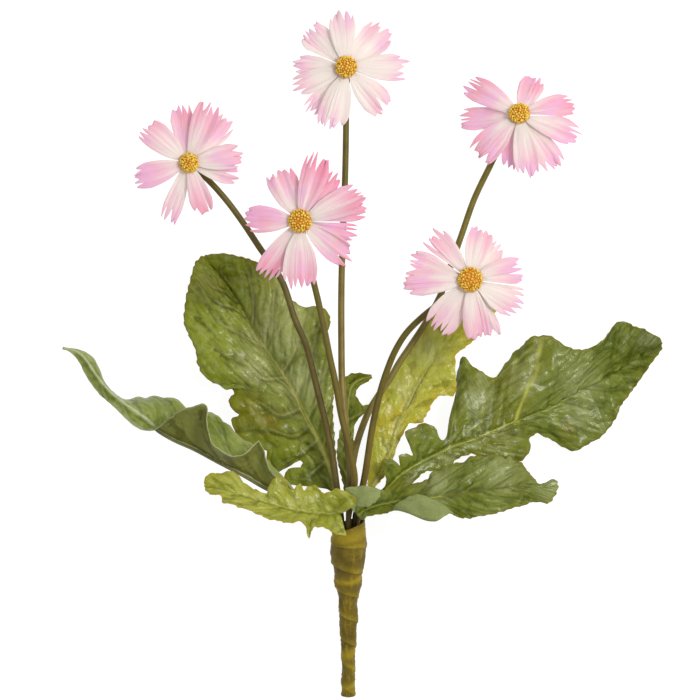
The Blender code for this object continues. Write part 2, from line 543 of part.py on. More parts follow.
def make_pick():
    """The bundle of stem ends and stalks wound with tape, whose edge climbs round it as a low step."""
    length = (PICK_TOP_Y - PICK_END_Y) / math.cos(PICK_TILT)
    rows = round(length / PICK_ROW)
    depths = np.linspace(0.0, length, rows + 1)
    knots = [depth for depth, _ in PICK_PROFILE]
    radii = through(knots, [[radius] for _, radius in PICK_PROFILE], depths)[:, 0]
    points, faces = [], []
    for depth, radius in zip(depths, radii):
        for k in range(PICK_SIDES):
            angle = math.tau * k / PICK_SIDES
            turn = (depth / TAPE_PITCH + k / PICK_SIDES) % 1.0
            reach = radius + TAPE_STEP * turn * min(1.0, radius / TAPE_FULL_RADIUS)
            points.append(seat(reach * math.cos(angle), reach * math.sin(angle), depth))
    for row in range(rows):
        for k in range(PICK_SIDES):
            a = row * PICK_SIDES + k
            b = row * PICK_SIDES + (k + 1) % PICK_SIDES
            faces += [(a, a + PICK_SIDES, b + PICK_SIDES), (a, b + PICK_SIDES, b)]
    faces.append(tuple(range(PICK_SIDES)))
    faces.append(tuple(reversed(range(rows * PICK_SIDES, (rows + 1) * PICK_SIDES))))
    pick = solid("taped_pick", points, faces, "tape_olive")
    bore = STEM_ROOT_RADIUS + FIT_GAP
    cutters = [
        hole(*bloom.root, (LEADER_DEPTH if key == "top" else STEM_DEPTH) + FIT_GAP, bore)
        for key, bloom in BLOOMS.items()
    ]
    cutters += [
        hole(*stalk_seat(leaf.hole), STALK_DEPTH + FIT_GAP, STALK_RADIUS + FIT_GAP)
        for leaf in LEAVES.values()
    ]
    boolean(pick, [*cutters, ground()], "DIFFERENCE")


def bloom_axes(bloom):
    """The bloom's own sideways, upward and outward directions."""
    out = unit(bloom.face)
    side = unit(PICK_SIDE - out * np.dot(PICK_SIDE, out))
    return side, np.cross(out, side), out


def make_stem(key, bloom):
    """A wired stem: its root in the pick, its curve, the calyx cup and the peg that holds the bloom."""
    out = bloom_axes(bloom)[2]
    hub = np.array(bloom.hub)
    depth = LEADER_DEPTH if key == "top" else STEM_DEPTH
    rim = seat(*bloom.root, 0.0)
    neck = hub + out * (CALYX_TOP - CALYX_LENGTH)
    bends = np.array([rim, rim + PICK_LEAD * PICK_AXIS, *bloom.route, neck - NECK_LEAD * out, neck])
    line = through(along(bends), bends, STEM_SHARES)
    stations = [(seat(*bloom.root, depth), STEM_ROOT_RADIUS)]
    for share, point in zip(STEM_SHARES, line):
        grown = min(1.0, share / STEM_SWELL)
        radius = STEM_ROOT_RADIUS + (STEM_RADIUS - STEM_ROOT_RADIUS) * grown
        stations.append((point, radius * (1.0 - STEM_TAPER * share)))
    for share, width in CALYX_SHAPE:
        stations.append((neck + out * CALYX_LENGTH * share, CALYX_RADIUS * width))
    stations.append((hub + out * (CALYX_TOP + PEG_STEP), PEG_RADIUS))
    stations.append((hub + out * PEG_TOP, PEG_RADIUS))
    return rod(f"stem_{key}", stations, STEM_ROUNDNESS, "stem_olive")


def petal_height(share, layer, droop, lift):
    """How far a petal's middle stands over the hub, at a share of its length. The layers part outwards."""
    parting = PARTING * min(1.0, PARTING_PACE * share)
    rise = PETAL_RISE * share - droop * share * share + lift * share
    return rise - (parting if layer == "back" else 0.0)


def make_corolla(key, bloom, layer, dice):
    """One die-cut layer of toothed petals on a ring-shaped hub."""
    side, up, out = bloom_axes(bloom)
    hub = np.array(bloom.hub)
    base = FRONT_LAYER if layer == "front" else BACK_LAYER
    petals = sorted(bloom.front if layer == "front" else bloom.back)
    flat, triangles = [], []

    def place(radius, across, azimuth, height):
        """Adds a point by its place along and across a petal, and returns its number."""
        angle = math.radians(azimuth)
        x = radius * math.cos(angle) - across * math.sin(angle)
        y = radius * math.sin(angle) + across * math.cos(angle)
        flat.append((x, y, base + height))
        return len(flat) - 1

    rim = []
    for number, (azimuth, length, width) in enumerate(petals):
        lift = dice.uniform(-PETAL_LIFT, PETAL_LIFT)
        room = [
            ((petals[number][0] - petals[number - 1][0]) % 360) / 2,
            ((petals[(number + 1) % len(petals)][0] - petals[number][0]) % 360) / 2,
        ]

        def half_width(radius, wanted, toward):
            """The half width at a radius on one side, kept clear of the next petal."""
            angle = math.radians(min(room[toward > 0], WIDEST_HALF))
            return min(wanted, radius * math.tan(angle) - PETAL_GAP)

        foot = [
            place(HUB_RADIUS, toward * half_width(HUB_RADIUS, ROOT_WIDTH / 2, toward), azimuth, 0.0)
            for toward in (-1, 0, 1)
        ]
        rim += foot
        rim.append(place(HUB_RADIUS * RIM_DIP, 0.0, azimuth + room[1], 0.0))
        rows = [foot]
        for share, half in PETAL_WIDTHS:
            radius = length * share
            middle = petal_height(share, layer, bloom.droop, lift)
            row = []
            for toward in (-1.0, -0.5, 0.0, 0.5, 1.0):
                across = toward * half_width(radius, half * width, toward)
                pleat = PLEAT * math.cos(math.tau * toward) - PETAL_CUP * share * abs(across)
                row.append(place(radius, across, azimuth, middle + pleat))
            rows.append(row)
        teeth = max(FEWEST_TEETH, round(width / TOOTH_WIDTH))
        fringe = []
        for k in range(2 * teeth + 1):
            across = k / teeth - 1.0
            if k % 2:
                share = 1.0 - TOOTH_FALL * across * across - dice.uniform(0.0, TOOTH_VARIES)
            else:
                share = NOTCH_REACH - NOTCH_FALL * across * across
                share += dice.uniform(-NOTCH_VARIES, NOTCH_VARIES)
            reach = across * half_width(length * NOTCH_REACH, width / 2, across)
            height = petal_height(share, layer, bloom.droop, lift)
            height -= PETAL_CUP * across * across * abs(reach)
            fringe.append(place(length * share, reach, azimuth, height))
        rows.append(fringe)
        for lower, upper in zip(rows, rows[1:]):
            triangles += strip(lower, upper)
    corner = HUB_HOLE / math.cos(math.pi / HUB_SIDES)
    inner = [place(corner, 0.0, 360.0 * k / HUB_SIDES, 0.0) for k in range(HUB_SIDES)]
    rim_angles = [azimuth_of(flat[i]) for i in rim]
    start = rim_angles.index(min(rim_angles))
    rim = rim[start:] + rim[:start] + [rim[start]]
    triangles += ring_between(inner, rim, flat)
    flat = np.array(flat)
    points = hub + flat[:, :1] * side + flat[:, 1:2] * up + flat[:, 2:] * out
    return sheet(f"petals_{key}_{layer}", points, triangles, PETAL_THICKNESS, "petal_pink")


def azimuth_of(point):
    """The angle of a flat point round the hub, from 0 to 360 degrees."""
    return math.degrees(math.atan2(point[1], point[0])) % 360


def ring_between(inner, rim, flat):
    """Triangles from an even inner ring to a rim that closes on its first point, matched by angle."""
    inner_angles = [360.0 * k / HUB_SIDES for k in range(HUB_SIDES + 1)]
    inner = inner + [inner[0]]
    rim_angles = [azimuth_of(flat[number]) for number in rim[:-1]]
    rim_angles.append(rim_angles[0] + 360.0)
    triangles = []
    i = j = 0
    while i < len(inner) - 1 or j < len(rim) - 1:
        next_inner = inner_angles[i + 1] if i < len(inner) - 1 else math.inf
        next_rim = rim_angles[j + 1] if j < len(rim) - 1 else math.inf
        if next_inner <= next_rim:
            triangles.append((inner[i], rim[j], inner[i + 1]))
            i += 1
        else:
            triangles.append((inner[i], rim[j], rim[j + 1]))
            j += 1
    return triangles


def make_eye(key, bloom):
    """The yellow button: a beaded dome with a socket underneath for the peg."""
    side, up, out = bloom_axes(bloom)
    hub = np.array(bloom.hub)
    radius = bloom.eye
    roof = PEG_TOP + SOCKET_ROOM
    rows = [(HUB_HOLE, roof), (HUB_HOLE, EYE_BASE)]
    rows += [(radius * wide, EYE_BASE + EYE_HEIGHT * high) for wide, high in EYE_DOME]
    points = [(0.0, 0.0, roof)]
    for row, (reach, height) in enumerate(rows):
        for k in range(EYE_SIDES):
            angle = math.tau * (k + 0.5 * (row % 2)) / EYE_SIDES
            beaded = row >= BEADS_FROM_ROW and (k - row // 2 - row) % BEAD_SPACING == 0
            swell = EYE_BEAD if beaded else 0.0
            flat = min(1.0, reach / radius)
            across = reach + swell * flat
            points.append((across * math.cos(angle), across * math.sin(angle),
                           height + swell * (1.0 - flat * flat)))
    points.append((0.0, 0.0, EYE_BASE + EYE_HEIGHT + EYE_BEAD))
    top = len(points) - 1
    faces = []
    for k in range(EYE_SIDES):
        following = (k + 1) % EYE_SIDES
        faces.append((0, 1 + following, 1 + k))
        for row in range(len(rows) - 1):
            a = 1 + row * EYE_SIDES + k
            b = 1 + row * EYE_SIDES + following
            faces += [(a, b + EYE_SIDES, a + EYE_SIDES), (a, b, b + EYE_SIDES)]
        last = 1 + (len(rows) - 1) * EYE_SIDES
        faces.append((last + k, last + following, top))
    points = np.array(points)
    world = hub + points[:, :1] * side + points[:, 1:2] * up + points[:, 2:] * out
    return solid(f"eye_{key}", world, faces, "eye_yellow")


def leaf_rows(leaf):
    """The shares of the rib at which the blade has a row of points: wherever a margin turns."""
    shares = sorted({knot[0] for knot in leaf.left} | {knot[0] for knot in leaf.right})
    rows = [0.0]
    for share in shares:
        if share - rows[-1] >= ROW_GAP:
            rows.append(min(share, LAST_ROW))
    return np.array(rows)


def leaf_grid(leaf, shares, across):
    """The blade's middle surface: a row of points for each share, from the left margin to the right."""
    knots = along(leaf.rib)
    rib = through(knots, leaf.rib, shares)
    onward = through(knots, leaf.rib, shares + NEAR) - through(knots, leaf.rib, shares - NEAR)
    grid = np.empty((len(shares), len(across), 3))
    for column, t in enumerate(across):
        margin = leaf.left if t < 0 else leaf.right
        edge = through([knot[0] for knot in margin], [knot[1:] for knot in margin], shares)
        reach = edge - rib
        front = np.cross(onward, reach) if t < 0 else np.cross(reach, onward)
        size = np.linalg.norm(front, axis=1)[:, None]
        front = front / np.maximum(size, 1e-9)
        width = np.linalg.norm(reach, axis=1)[:, None]
        swell = leaf.arch * width * 4.0 * abs(t) * (1.0 - abs(t))
        grid[:, column] = rib + abs(t) * reach + swell * front
    return grid


def leaf_fronts(grid):
    """The direction that the blade's front looks in, at its rib in each row."""
    middle = grid.shape[1] // 2
    across = grid[:, middle + 1] - grid[:, middle - 1]
    fronts = np.cross(across, np.gradient(grid[:, middle], axis=0))
    return fronts / np.linalg.norm(fronts, axis=1)[:, None]


def make_leaf(name, leaf):
    """A leaf: a lobed, waved blade on a wired stalk that runs on behind it as its rib."""
    shares = leaf_rows(leaf)
    grid = leaf_grid(leaf, shares, BLADE_COLUMNS)
    rows, columns = grid.shape[:2]
    triangles = []
    for i in range(rows - 1):
        for j in range(columns - 1):
            a = i * columns + j
            triangles += [(a, a + 1, a + columns + 1), (a, a + columns + 1, a + columns)]
    blade = sheet(name, grid.reshape(-1, 3), triangles, LEAF_THICKNESS, leaf.colour)
    rib_shares = np.linspace(RIB_START, RIB_REACH, RIB_STATIONS)
    rib = through(along(leaf.rib), leaf.rib, rib_shares)
    behind = through(shares, leaf_fronts(grid), rib_shares)
    rib = rib - behind * RIB_SINK
    side, front = stalk_seat(leaf.hole)
    rim = seat(side, front, 0.0)
    bends = np.vstack([rim, rim + PICK_LEAD * PICK_AXIS, rib])
    stations = [(seat(side, front, STALK_DEPTH), STALK_RADIUS)]
    for share, point in zip(STALK_SHARES, through(along(bends), bends, STALK_SHARES)):
        stations.append((point, STALK_RADIUS * (1.0 - RIB_TAPER * share)))
    stalk = as_mesh(rod("stalk", stations, STALK_ROUNDNESS, leaf.colour))
    boolean(blade, [stalk], "UNION")
    if (grid[..., 2] < REST_REACH).any():
        boolean(blade, [ground()], "DIFFERENCE")


def main():
    """Builds the bush."""
    clear_scene()
    dice = random.Random(11)
    make_pick()
    for key, bloom in BLOOMS.items():
        make_stem(key, bloom)
        for layer in ("back", "front"):
            make_corolla(key, bloom, layer, dice)
        make_eye(key, bloom)
    for name, leaf in LEAVES.items():
        make_leaf(name, leaf)


main()
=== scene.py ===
"""Looks of a daisy bush: fringed pink blooms and veined leaves on covered wires, bound into a taped pick.

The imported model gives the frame. Each solid is replaced by a finer piece that keeps its form and its
place. Sizes below are in millimetres unless a name says otherwise; meshes are made in metres.
"""

import logging
import math
import random
from dataclasses import dataclass, field
from enum import Enum

import bpy
import numpy as np
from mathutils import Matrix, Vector, noise


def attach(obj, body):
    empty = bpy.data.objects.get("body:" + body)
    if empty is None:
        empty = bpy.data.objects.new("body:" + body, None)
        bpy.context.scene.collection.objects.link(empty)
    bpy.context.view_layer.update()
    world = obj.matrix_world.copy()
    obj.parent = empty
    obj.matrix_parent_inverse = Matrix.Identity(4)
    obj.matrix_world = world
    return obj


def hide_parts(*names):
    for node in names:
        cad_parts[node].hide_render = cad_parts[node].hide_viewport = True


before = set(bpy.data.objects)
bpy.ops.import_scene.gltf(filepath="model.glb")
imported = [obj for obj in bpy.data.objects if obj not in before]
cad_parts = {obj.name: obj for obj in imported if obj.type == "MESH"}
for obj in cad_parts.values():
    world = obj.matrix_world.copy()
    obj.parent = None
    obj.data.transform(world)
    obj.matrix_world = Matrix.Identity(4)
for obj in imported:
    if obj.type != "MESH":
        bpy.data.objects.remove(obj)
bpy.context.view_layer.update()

LOG = logging.getLogger("daisy_bush")
MM = 0.001
BODY = "root"
FRINGE_SEED = 11
DETAIL_SEED = 29

Point = tuple[float, float, float]
Route = tuple[Point, ...]
Petal = tuple[float, float, float]
Spots = tuple[tuple[float, float, float], ...]
Margin = tuple[tuple[float, float, float, float], ...]
Veins = tuple[tuple[tuple[float, float], ...], ...]
Colour = tuple[float, float, float]
Socket = bpy.types.NodeSocket


class Layer(Enum):
    """Which of a bloom's two die-cut layers."""

    BACK = "back"
    FRONT = "front"


class Slot(Enum):
    """The record's material slots."""

    PETAL = "petal_fabric"
    CENTRE = "centre_yellow"
    STEM = "stem_plastic"
    GREEN = "leaf_green"
    LIME = "leaf_lime"
    TAPE = "tape"


def through(knots: np.ndarray, values: np.ndarray, at: np.ndarray) -> np.ndarray:
    """Reads a smooth curve at given places.

    Args:
        knots: Rising places at which the curve is known.
        values: The curve's points there, one row each.
        at: Places to read.

    Returns:
        One row for each place.
    """
    knots = np.asarray(knots, float)
    values = np.asarray(values, float)
    steps = np.diff(knots)[:, None]
    slopes = np.diff(values, axis=0) / steps
    tangents = np.empty_like(values)
    tangents[0] = slopes[0]
    tangents[-1] = slopes[-1]
    tangents[1:-1] = (slopes[:-1] * steps[1:] + slopes[1:] * steps[:-1]) / (steps[:-1] + steps[1:])
    at = np.clip(np.asarray(at, float), knots[0], knots[-1])
    span = np.clip(np.searchsorted(knots, at, side="right") - 1, 0, len(knots) - 2)
    step = steps[span]
    u = (at - knots[span])[:, None] / step
    return (
        (2 * u**3 - 3 * u**2 + 1) * values[span]
        + (u**3 - 2 * u**2 + u) * step * tangents[span]
        + (3 * u**2 - 2 * u**3) * values[span + 1]
        + (u**3 - u**2) * step * tangents[span + 1]
    )


def along(points: np.ndarray) -> np.ndarray:
    """Measures a polyline.

    Args:
        points: Its points in order.

    Returns:
        The share of the whole length at each point.
    """
    lengths = np.linalg.norm(np.diff(np.asarray(points, float), axis=0), axis=1)
    total = np.concatenate([[0.0], np.cumsum(lengths)])
    return total / total[-1]


def ease(values: np.ndarray, low: float, high: float) -> np.ndarray:
    """Turns values into a soft step.

    Args:
        values: What to turn.
        low: Where the step starts, at 0.
        high: Where it ends, at 1.

    Returns:
        Values from 0 to 1.
    """
    share = np.clip((np.asarray(values, float) - low) / (high - low), 0.0, 1.0)
    return share * share * (3 - 2 * share)


def unit(vector: np.ndarray) -> np.ndarray:
    """The vectors of an array's last axis at length 1."""
    vector = np.asarray(vector, float)
    return vector / np.maximum(np.linalg.norm(vector, axis=-1, keepdims=True), 1e-9)


def ripple(points: np.ndarray, size: float, seed: float, octaves: int = 2) -> np.ndarray:
    """Soft seeded noise.

    Args:
        points: Places in millimetres, in the last axis.
        size: The width of a swell in millimetres.
        seed: Moves the pattern.
        octaves: How many layers, each half as wide as the last.

    Returns:
        Values of about -1 to 1, in the shape of the points.
    """
    flat = np.asarray(points, float).reshape(-1, 3) / size + seed
    found = np.zeros(len(flat))
    for octave in range(octaves):
        scale = 2.0**octave
        found += np.array([noise.noise(Vector(p)) for p in flat * scale]) / scale
    return found.reshape(np.asarray(points).shape[:-1])


def crumple(points: np.ndarray, size: float, seed: float) -> np.ndarray:
    """Seeded noise of rounded lumps from 0 to 1 with sharp valleys between them."""
    return np.minimum(1.0, 2.0 * np.abs(ripple(points, size, seed))) ** 0.9


def bell(gap: np.ndarray, width: np.ndarray | float) -> np.ndarray:
    """1 where the gap is 0, falling softly to 0 beyond the width."""
    return np.exp(-((gap / width) ** 2))


def spread(*coordinates: np.ndarray | float) -> np.ndarray:
    """Points from their coordinates, whose shapes are fitted to each other."""
    return np.stack(np.broadcast_arrays(*coordinates), axis=-1)


def circle(sides: int) -> np.ndarray:
    """The angles of a ring's points."""
    return np.arange(sides) * math.tau / sides


def rings(radii: np.ndarray, heights: np.ndarray, sides: int) -> np.ndarray:
    """Rings round the upright axis.

    Args:
        radii: Each ring's radius.
        heights: Each ring's height.
        sides: Points in a ring.

    Returns:
        One row of points for each ring.
    """
    wide = radii[:, None]
    return spread(wide * np.cos(circle(sides)), wide * np.sin(circle(sides)), heights[:, None])


def linked(name: str, data: bpy.types.ID) -> bpy.types.Object:
    """Puts an object in the scene.

    Args:
        name: The object's name.
        data: Its mesh, light or camera.

    Returns:
        The object.
    """
    thing = bpy.data.objects.new(name, data)
    bpy.context.scene.collection.objects.link(thing)
    return thing


@dataclass
class Sheet:
    """A growing mesh: points in millimetres, faces and named values for each point.

    No point goes below the floor field, which is where the board is for this mesh.
    """

    floor: float = 0.02
    points: list = field(default_factory=list)
    faces: list = field(default_factory=list)
    values: dict = field(default_factory=dict)
    count: int = 0

    def add(self, points: np.ndarray, faces: np.ndarray, **values: np.ndarray) -> None:
        """Joins a patch to the mesh.

        Args:
            points: The patch's points, in the last axis.
            faces: Its faces, as numbers into those points.
            values: A value for each point or for all, by attribute name.
        """
        listed = np.asarray(points, float).reshape(-1, 3)
        self.points.append(listed)
        self.faces.append(np.asarray(faces, int) + self.count)
        for name, row in values.items():
            self.values.setdefault(name, []).append(np.broadcast_to(np.ravel(row), len(listed)))
        self.count += len(listed)

    def object(self, name: str) -> bpy.types.Object:
        """Makes the Blender object.

        Args:
            name: The piece's name.

        Returns:
            The linked object, smooth shaded, with its attributes.
        """
        mesh = bpy.data.meshes.new(name)
        faces = [tuple(face) for block in self.faces for face in block.tolist()]
        points = np.vstack(self.points)
        points[:, 2] = np.maximum(points[:, 2], self.floor)
        mesh.from_pydata((points * MM).tolist(), [], faces)
        for attribute, rows in self.values.items():
            made = mesh.attributes.new(attribute, "FLOAT", "POINT")
            made.data.foreach_set("value", np.concatenate(rows).astype(np.float32))
        mesh.shade_smooth()
        return linked(name, mesh)


def grid_faces(rows: int, columns: int, closed: bool = False) -> np.ndarray:
    """Faces of a grid of points numbered row by row.

    Args:
        rows: How many rows.
        columns: How many points in a row.
        closed: Whether each row is a ring.

    Returns:
        Quads whose front follows from rows going up and columns going right.
    """
    across = columns if closed else columns - 1
    i, j = np.meshgrid(np.arange(rows - 1), np.arange(across), indexing="ij")
    a = (i * columns + j).ravel()
    b = (i * columns + (j + 1) % columns).ravel()
    return np.stack([a, b, b + columns, a + columns], axis=1)


def thicken(thing: bpy.types.Object, thickness: float, back: int = 0) -> None:
    """Gives a sheet its thickness.

    Args:
        thing: The object.
        thickness: In millimetres.
        back: How many material slots further the back's finish is.
    """
    skin = thing.modifiers.new("thickness", "SOLIDIFY")
    skin.thickness = thickness * MM
    skin.offset = 0.0
    skin.material_offset = back


def tube(line: np.ndarray, radii: np.ndarray, sides: int) -> tuple[np.ndarray, np.ndarray]:
    """Points and faces of a round tube without ends.

    Args:
        line: The middle of each ring.
        radii: A radius for each ring, or one for each ring and side.
        sides: Points in a ring.

    Returns:
        The points, ring by ring, and the faces.
    """
    heading = unit(np.gradient(line, axis=0))
    side = np.array((1.0, 0.0, 0.0))
    first = side - heading[0] * np.dot(side, heading[0])
    frames = [unit(first)]
    for step in heading[1:]:
        carried = frames[-1] - step * np.dot(frames[-1], step)
        frames.append(unit(carried))
    across = np.array(frames)
    up = np.cross(heading, across)
    turn = circle(sides)[:, None]
    reach = np.asarray(radii, float)
    if reach.ndim == 1:
        reach = np.repeat(reach[:, None], sides, axis=1)
    ring = across[:, None] * np.cos(turn) + up[:, None] * np.sin(turn)
    points = (line[:, None] + ring * reach[..., None]).reshape(-1, 3)
    return points, grid_faces(len(line), sides, closed=True)


def capped(sheet: Sheet, line: np.ndarray, radii: np.ndarray, sides: int, **values: np.ndarray) -> None:
    """Adds a tube whose ends close on a point.

    Args:
        sheet: The mesh it joins.
        line: The middle of each ring.
        radii: A radius for each ring, or one for each ring and side.
        sides: Points in a ring.
        values: A value for each ring, by attribute name.
    """
    longer, smaller = 1e-3, 0.02
    wall = np.asarray(radii, float)
    closed_line = np.vstack([line[:1], line, line[-1:]])
    closed_line[0] -= (line[1] - line[0]) * longer
    closed_line[-1] += (line[-1] - line[-2]) * longer
    closed_radii = np.concatenate([wall[:1] * smaller, wall, wall[-1:] * smaller])
    points, faces = tube(closed_line, closed_radii, sides)
    rows = {name: np.repeat(np.concatenate([row[:1], row, row[-1:]]), sides) for name, row in values.items()}
    rows["turn"] = np.tile(np.arange(sides) / sides, len(closed_line))
    sheet.add(points, faces, **rows)
    for start, order in ((0, -1), ((len(closed_line) - 1) * sides, 1)):
        ring = (sheet.count - len(points) + start + np.arange(sides))[::order]
        sheet.faces.append(ring[None, :])


class Shader:
    """A material's node tree, built up by short calls."""

    def __init__(self, name: str, **uniform: float | Colour) -> None:
        """Starts a material.

        Args:
            name: The material's name.
            uniform: Values that hold all over, by the shader's socket name with _ for a space.
        """
        self.material = bpy.data.materials.new(name)
        self.material.use_nodes = True
        self.tree = self.material.node_tree
        self.surface = self.tree.nodes["Principled BSDF"]
        for socket, value in uniform.items():
            self.surface.inputs[socket.replace("_", " ")].default_value = value

    def node(self, kind: str, inputs: dict | None = None, **settings: object) -> bpy.types.Node:
        """Adds a node.

        Args:
            kind: Its type, without the leading ShaderNode.
            inputs: A socket or a value for each named or numbered input.
            settings: The node's own properties.

        Returns:
            The node.
        """
        made = self.tree.nodes.new(f"ShaderNode{kind}")
        for name, value in settings.items():
            setattr(made, name, value)
        for name, value in (inputs or {}).items():
            if isinstance(value, Socket):
                self.tree.links.new(value, made.inputs[name])
            else:
                made.inputs[name].default_value = value
        return made

    def set(self, socket: str, value: Socket) -> None:
        """Links a result to one of the shader's own sockets."""
        self.tree.links.new(value, self.surface.inputs[socket])

    def value(self, name: str) -> Socket:
        """A value that the mesh carries."""
        return self.node("Attribute", attribute_name=name).outputs["Fac"]

    def place(self) -> Socket:
        """The place on the object, in metres."""
        return self.node("TexCoord").outputs["Object"]

    def math(self, operation: str, first: Socket | float, second: Socket | float = 0.0) -> Socket:
        """The result of one sum.

        Args:
            operation: Blender's name for it.
            first: A number or socket.
            second: Another.

        Returns:
            The result.
        """
        return self.node("Math", {0: first, 1: second}, operation=operation).outputs[0]

    def times(self, first: Socket, second: Socket | float) -> Socket:
        """The product of two numbers."""
        return self.math("MULTIPLY", first, second)

    def scaled(self, *parts: tuple[Socket, float]) -> Socket:
        """A vector of up to three numbers, each scaled."""
        inputs = {number: self.times(*part) for number, part in enumerate(parts)}
        return self.node("CombineXYZ", inputs).outputs[0]

    def span(self, value: Socket, low: float, high: float, start: float = 0.0, end: float = 1.0) -> Socket:
        """A soft step.

        Args:
            value: What is read.
            low: Where the step starts.
            high: Where it ends.
            start: The result below it.
            end: The result above it.

        Returns:
            The result.
        """
        made = self.node(
            "MapRange", {"Value": value, 1: low, 2: high, 3: start, 4: end}, interpolation_type="SMOOTHSTEP"
        )
        return made.outputs["Result"]

    def cloud(self, vector: Socket, scale: float, detail: float = 3.0, rough: float = 0.55) -> Socket:
        """Soft noise from 0 to 1.

        Args:
            vector: Where it is read.
            scale: Swells in one unit of the vector.
            detail: How many finer layers it has.
            rough: How strong those are.

        Returns:
            The noise.
        """
        made = self.node("TexNoise", {"Vector": vector, "Scale": scale, "Detail": detail, "Roughness": rough})
        return made.outputs["Fac"]

    def cells(self, vector: Socket, scale: float) -> Socket:
        """The distance to the nearest wall of a net of cells."""
        made = self.node("TexVoronoi", {"Vector": vector, "Scale": scale}, feature="DISTANCE_TO_EDGE")
        return made.outputs["Distance"]

    def mix(self, share: Socket, first: Socket | Colour, second: Socket | Colour) -> Socket:
        """Blends two colours.

        Args:
            share: How much of the second.
            first: A colour or socket.
            second: Another.

        Returns:
            The blend.
        """
        ends = [colour if isinstance(colour, Socket) else (*colour, 1.0) for colour in (first, second)]
        return self.node("Mix", {0: share, 6: ends[0], 7: ends[1]}, data_type="RGBA").outputs[2]

    def coated(self, ground: Socket | Colour, *coats: tuple[Socket, Colour]) -> Socket:
        """Lays colours over a ground, one after another.

        Args:
            ground: The lowest colour.
            coats: How much of each next colour, and the colour.

        Returns:
            The blend.
        """
        for share, colour in coats:
            ground = self.mix(share, ground, colour)
        return ground

    def relief(self, height: Socket, depth: float, under: Socket | None = None) -> Socket:
        """A bump.

        Args:
            height: From 0 to 1.
            depth: The height of 1, in millimetres.
            under: Another bump that this one lies on.

        Returns:
            The normal.
        """
        inputs = {"Strength": 1.0, "Distance": depth * MM, "Height": height}
        if under is not None:
            inputs["Normal"] = under
        return self.node("Bump", inputs).outputs[0]


@dataclass(frozen=True)
class PetalFinish:
    """Pressed fabric, sprayed pink from the tips over cream, with fine lengthwise streaks."""

    name: str
    blush: float
    cream: Colour = (0.82, 0.715, 0.66)
    pale: Colour = (0.80, 0.475, 0.545)
    pink: Colour = (0.76, 0.235, 0.345)
    lilac: Colour = (0.78, 0.41, 0.62)
    roughness: float = 0.75
    streak_spread: float = 0.35
    band_spread: float = 0.95
    petal_spread: float = 0.35
    even_blush: float = 0.65
    blush_reach: float = 0.6

    def material(self) -> bpy.types.Material:
        """Mixes the finish.

        Returns:
            The finish as a node material.
        """
        shader = Shader(
            self.name, Roughness=self.roughness, Sheen_Weight=0.12, Sheen_Roughness=0.5,
            Specular_IOR_Level=0.15, Subsurface_Weight=0.3, Subsurface_Scale=0.003,
            Subsurface_Radius=(1.0, 0.7, 0.7),
        )
        run, across, shade = shader.value("run"), shader.value("across"), shader.value("shade")
        streak = shader.cloud(shader.scaled((across, 9.0), (run, 1.3), (shade, 60.0)), 1.0, 4.0, 0.6)
        band = shader.cloud(shader.scaled((across, 2.2), (run, 0.8), (shade, 35.0)), 1.0, 1.0, 0.5)
        reach = run
        causes = ((streak, self.streak_spread), (band, self.band_spread), (shade, self.petal_spread))
        for cause, strength in causes:
            reach = shader.math("ADD", reach, shader.times(shader.math("SUBTRACT", cause, 0.5), strength))
        reach = shader.math("ADD", reach, (self.blush - self.even_blush) * self.blush_reach)
        cool = shader.span(shader.cloud(shader.place(), 90.0, 1.0), 0.42, 0.65, 0.0, 0.75)
        shader.set("Base Color", shader.coated(
            self.cream,
            (shader.span(reach, 0.15, 0.85), self.pale),
            (shader.times(shader.span(reach, 0.55, 1.25), self.blush), self.pink),
            (shader.times(cool, shader.span(reach, 0.3, 0.8)), self.lilac),
        ))
        weave = shader.relief(shader.cloud(shader.place(), 2600.0, 2.0), 0.03)
        fibres = shader.cloud(shader.scaled((across, 26.0), (run, 2.0), (shade, 90.0)), 1.0, 3.0, 0.6)
        shader.set("Normal", shader.relief(fibres, 0.16, weave))
        return shader.material


@dataclass(frozen=True)
class PollenFinish:
    """Flocked beads: straw and gold on top, orange painted as shade down between them and round the foot."""

    name: str = "pollen_beads"
    gold: Colour = (0.80, 0.49, 0.035)
    straw: Colour = (0.90, 0.68, 0.13)
    shade_orange: Colour = (0.58, 0.21, 0.008)

    def material(self) -> bpy.types.Material:
        """Mixes the finish.

        Returns:
            The finish as a node material.
        """
        shader = Shader(self.name, Roughness=0.6, Specular_IOR_Level=0.3, Sheen_Weight=0.1)
        bead = shader.value("shade")
        shader.set("Base Color", shader.coated(
            self.gold,
            (shader.span(bead, 0.2, 0.95), self.straw),
            # Painted shade: orange low on each bead, where it faces the dome, and round the dome's foot.
            (shader.span(shader.value("tip"), 0.2, 0.7, 1.0, 0.0), self.shade_orange),
            (shader.span(shader.value("run"), 0.0, 0.45, 0.9, 0.0), self.shade_orange),
        ))
        shader.set("Normal", shader.relief(shader.cloud(shader.place(), 3200.0, 3.0), 0.08))
        return shader.material


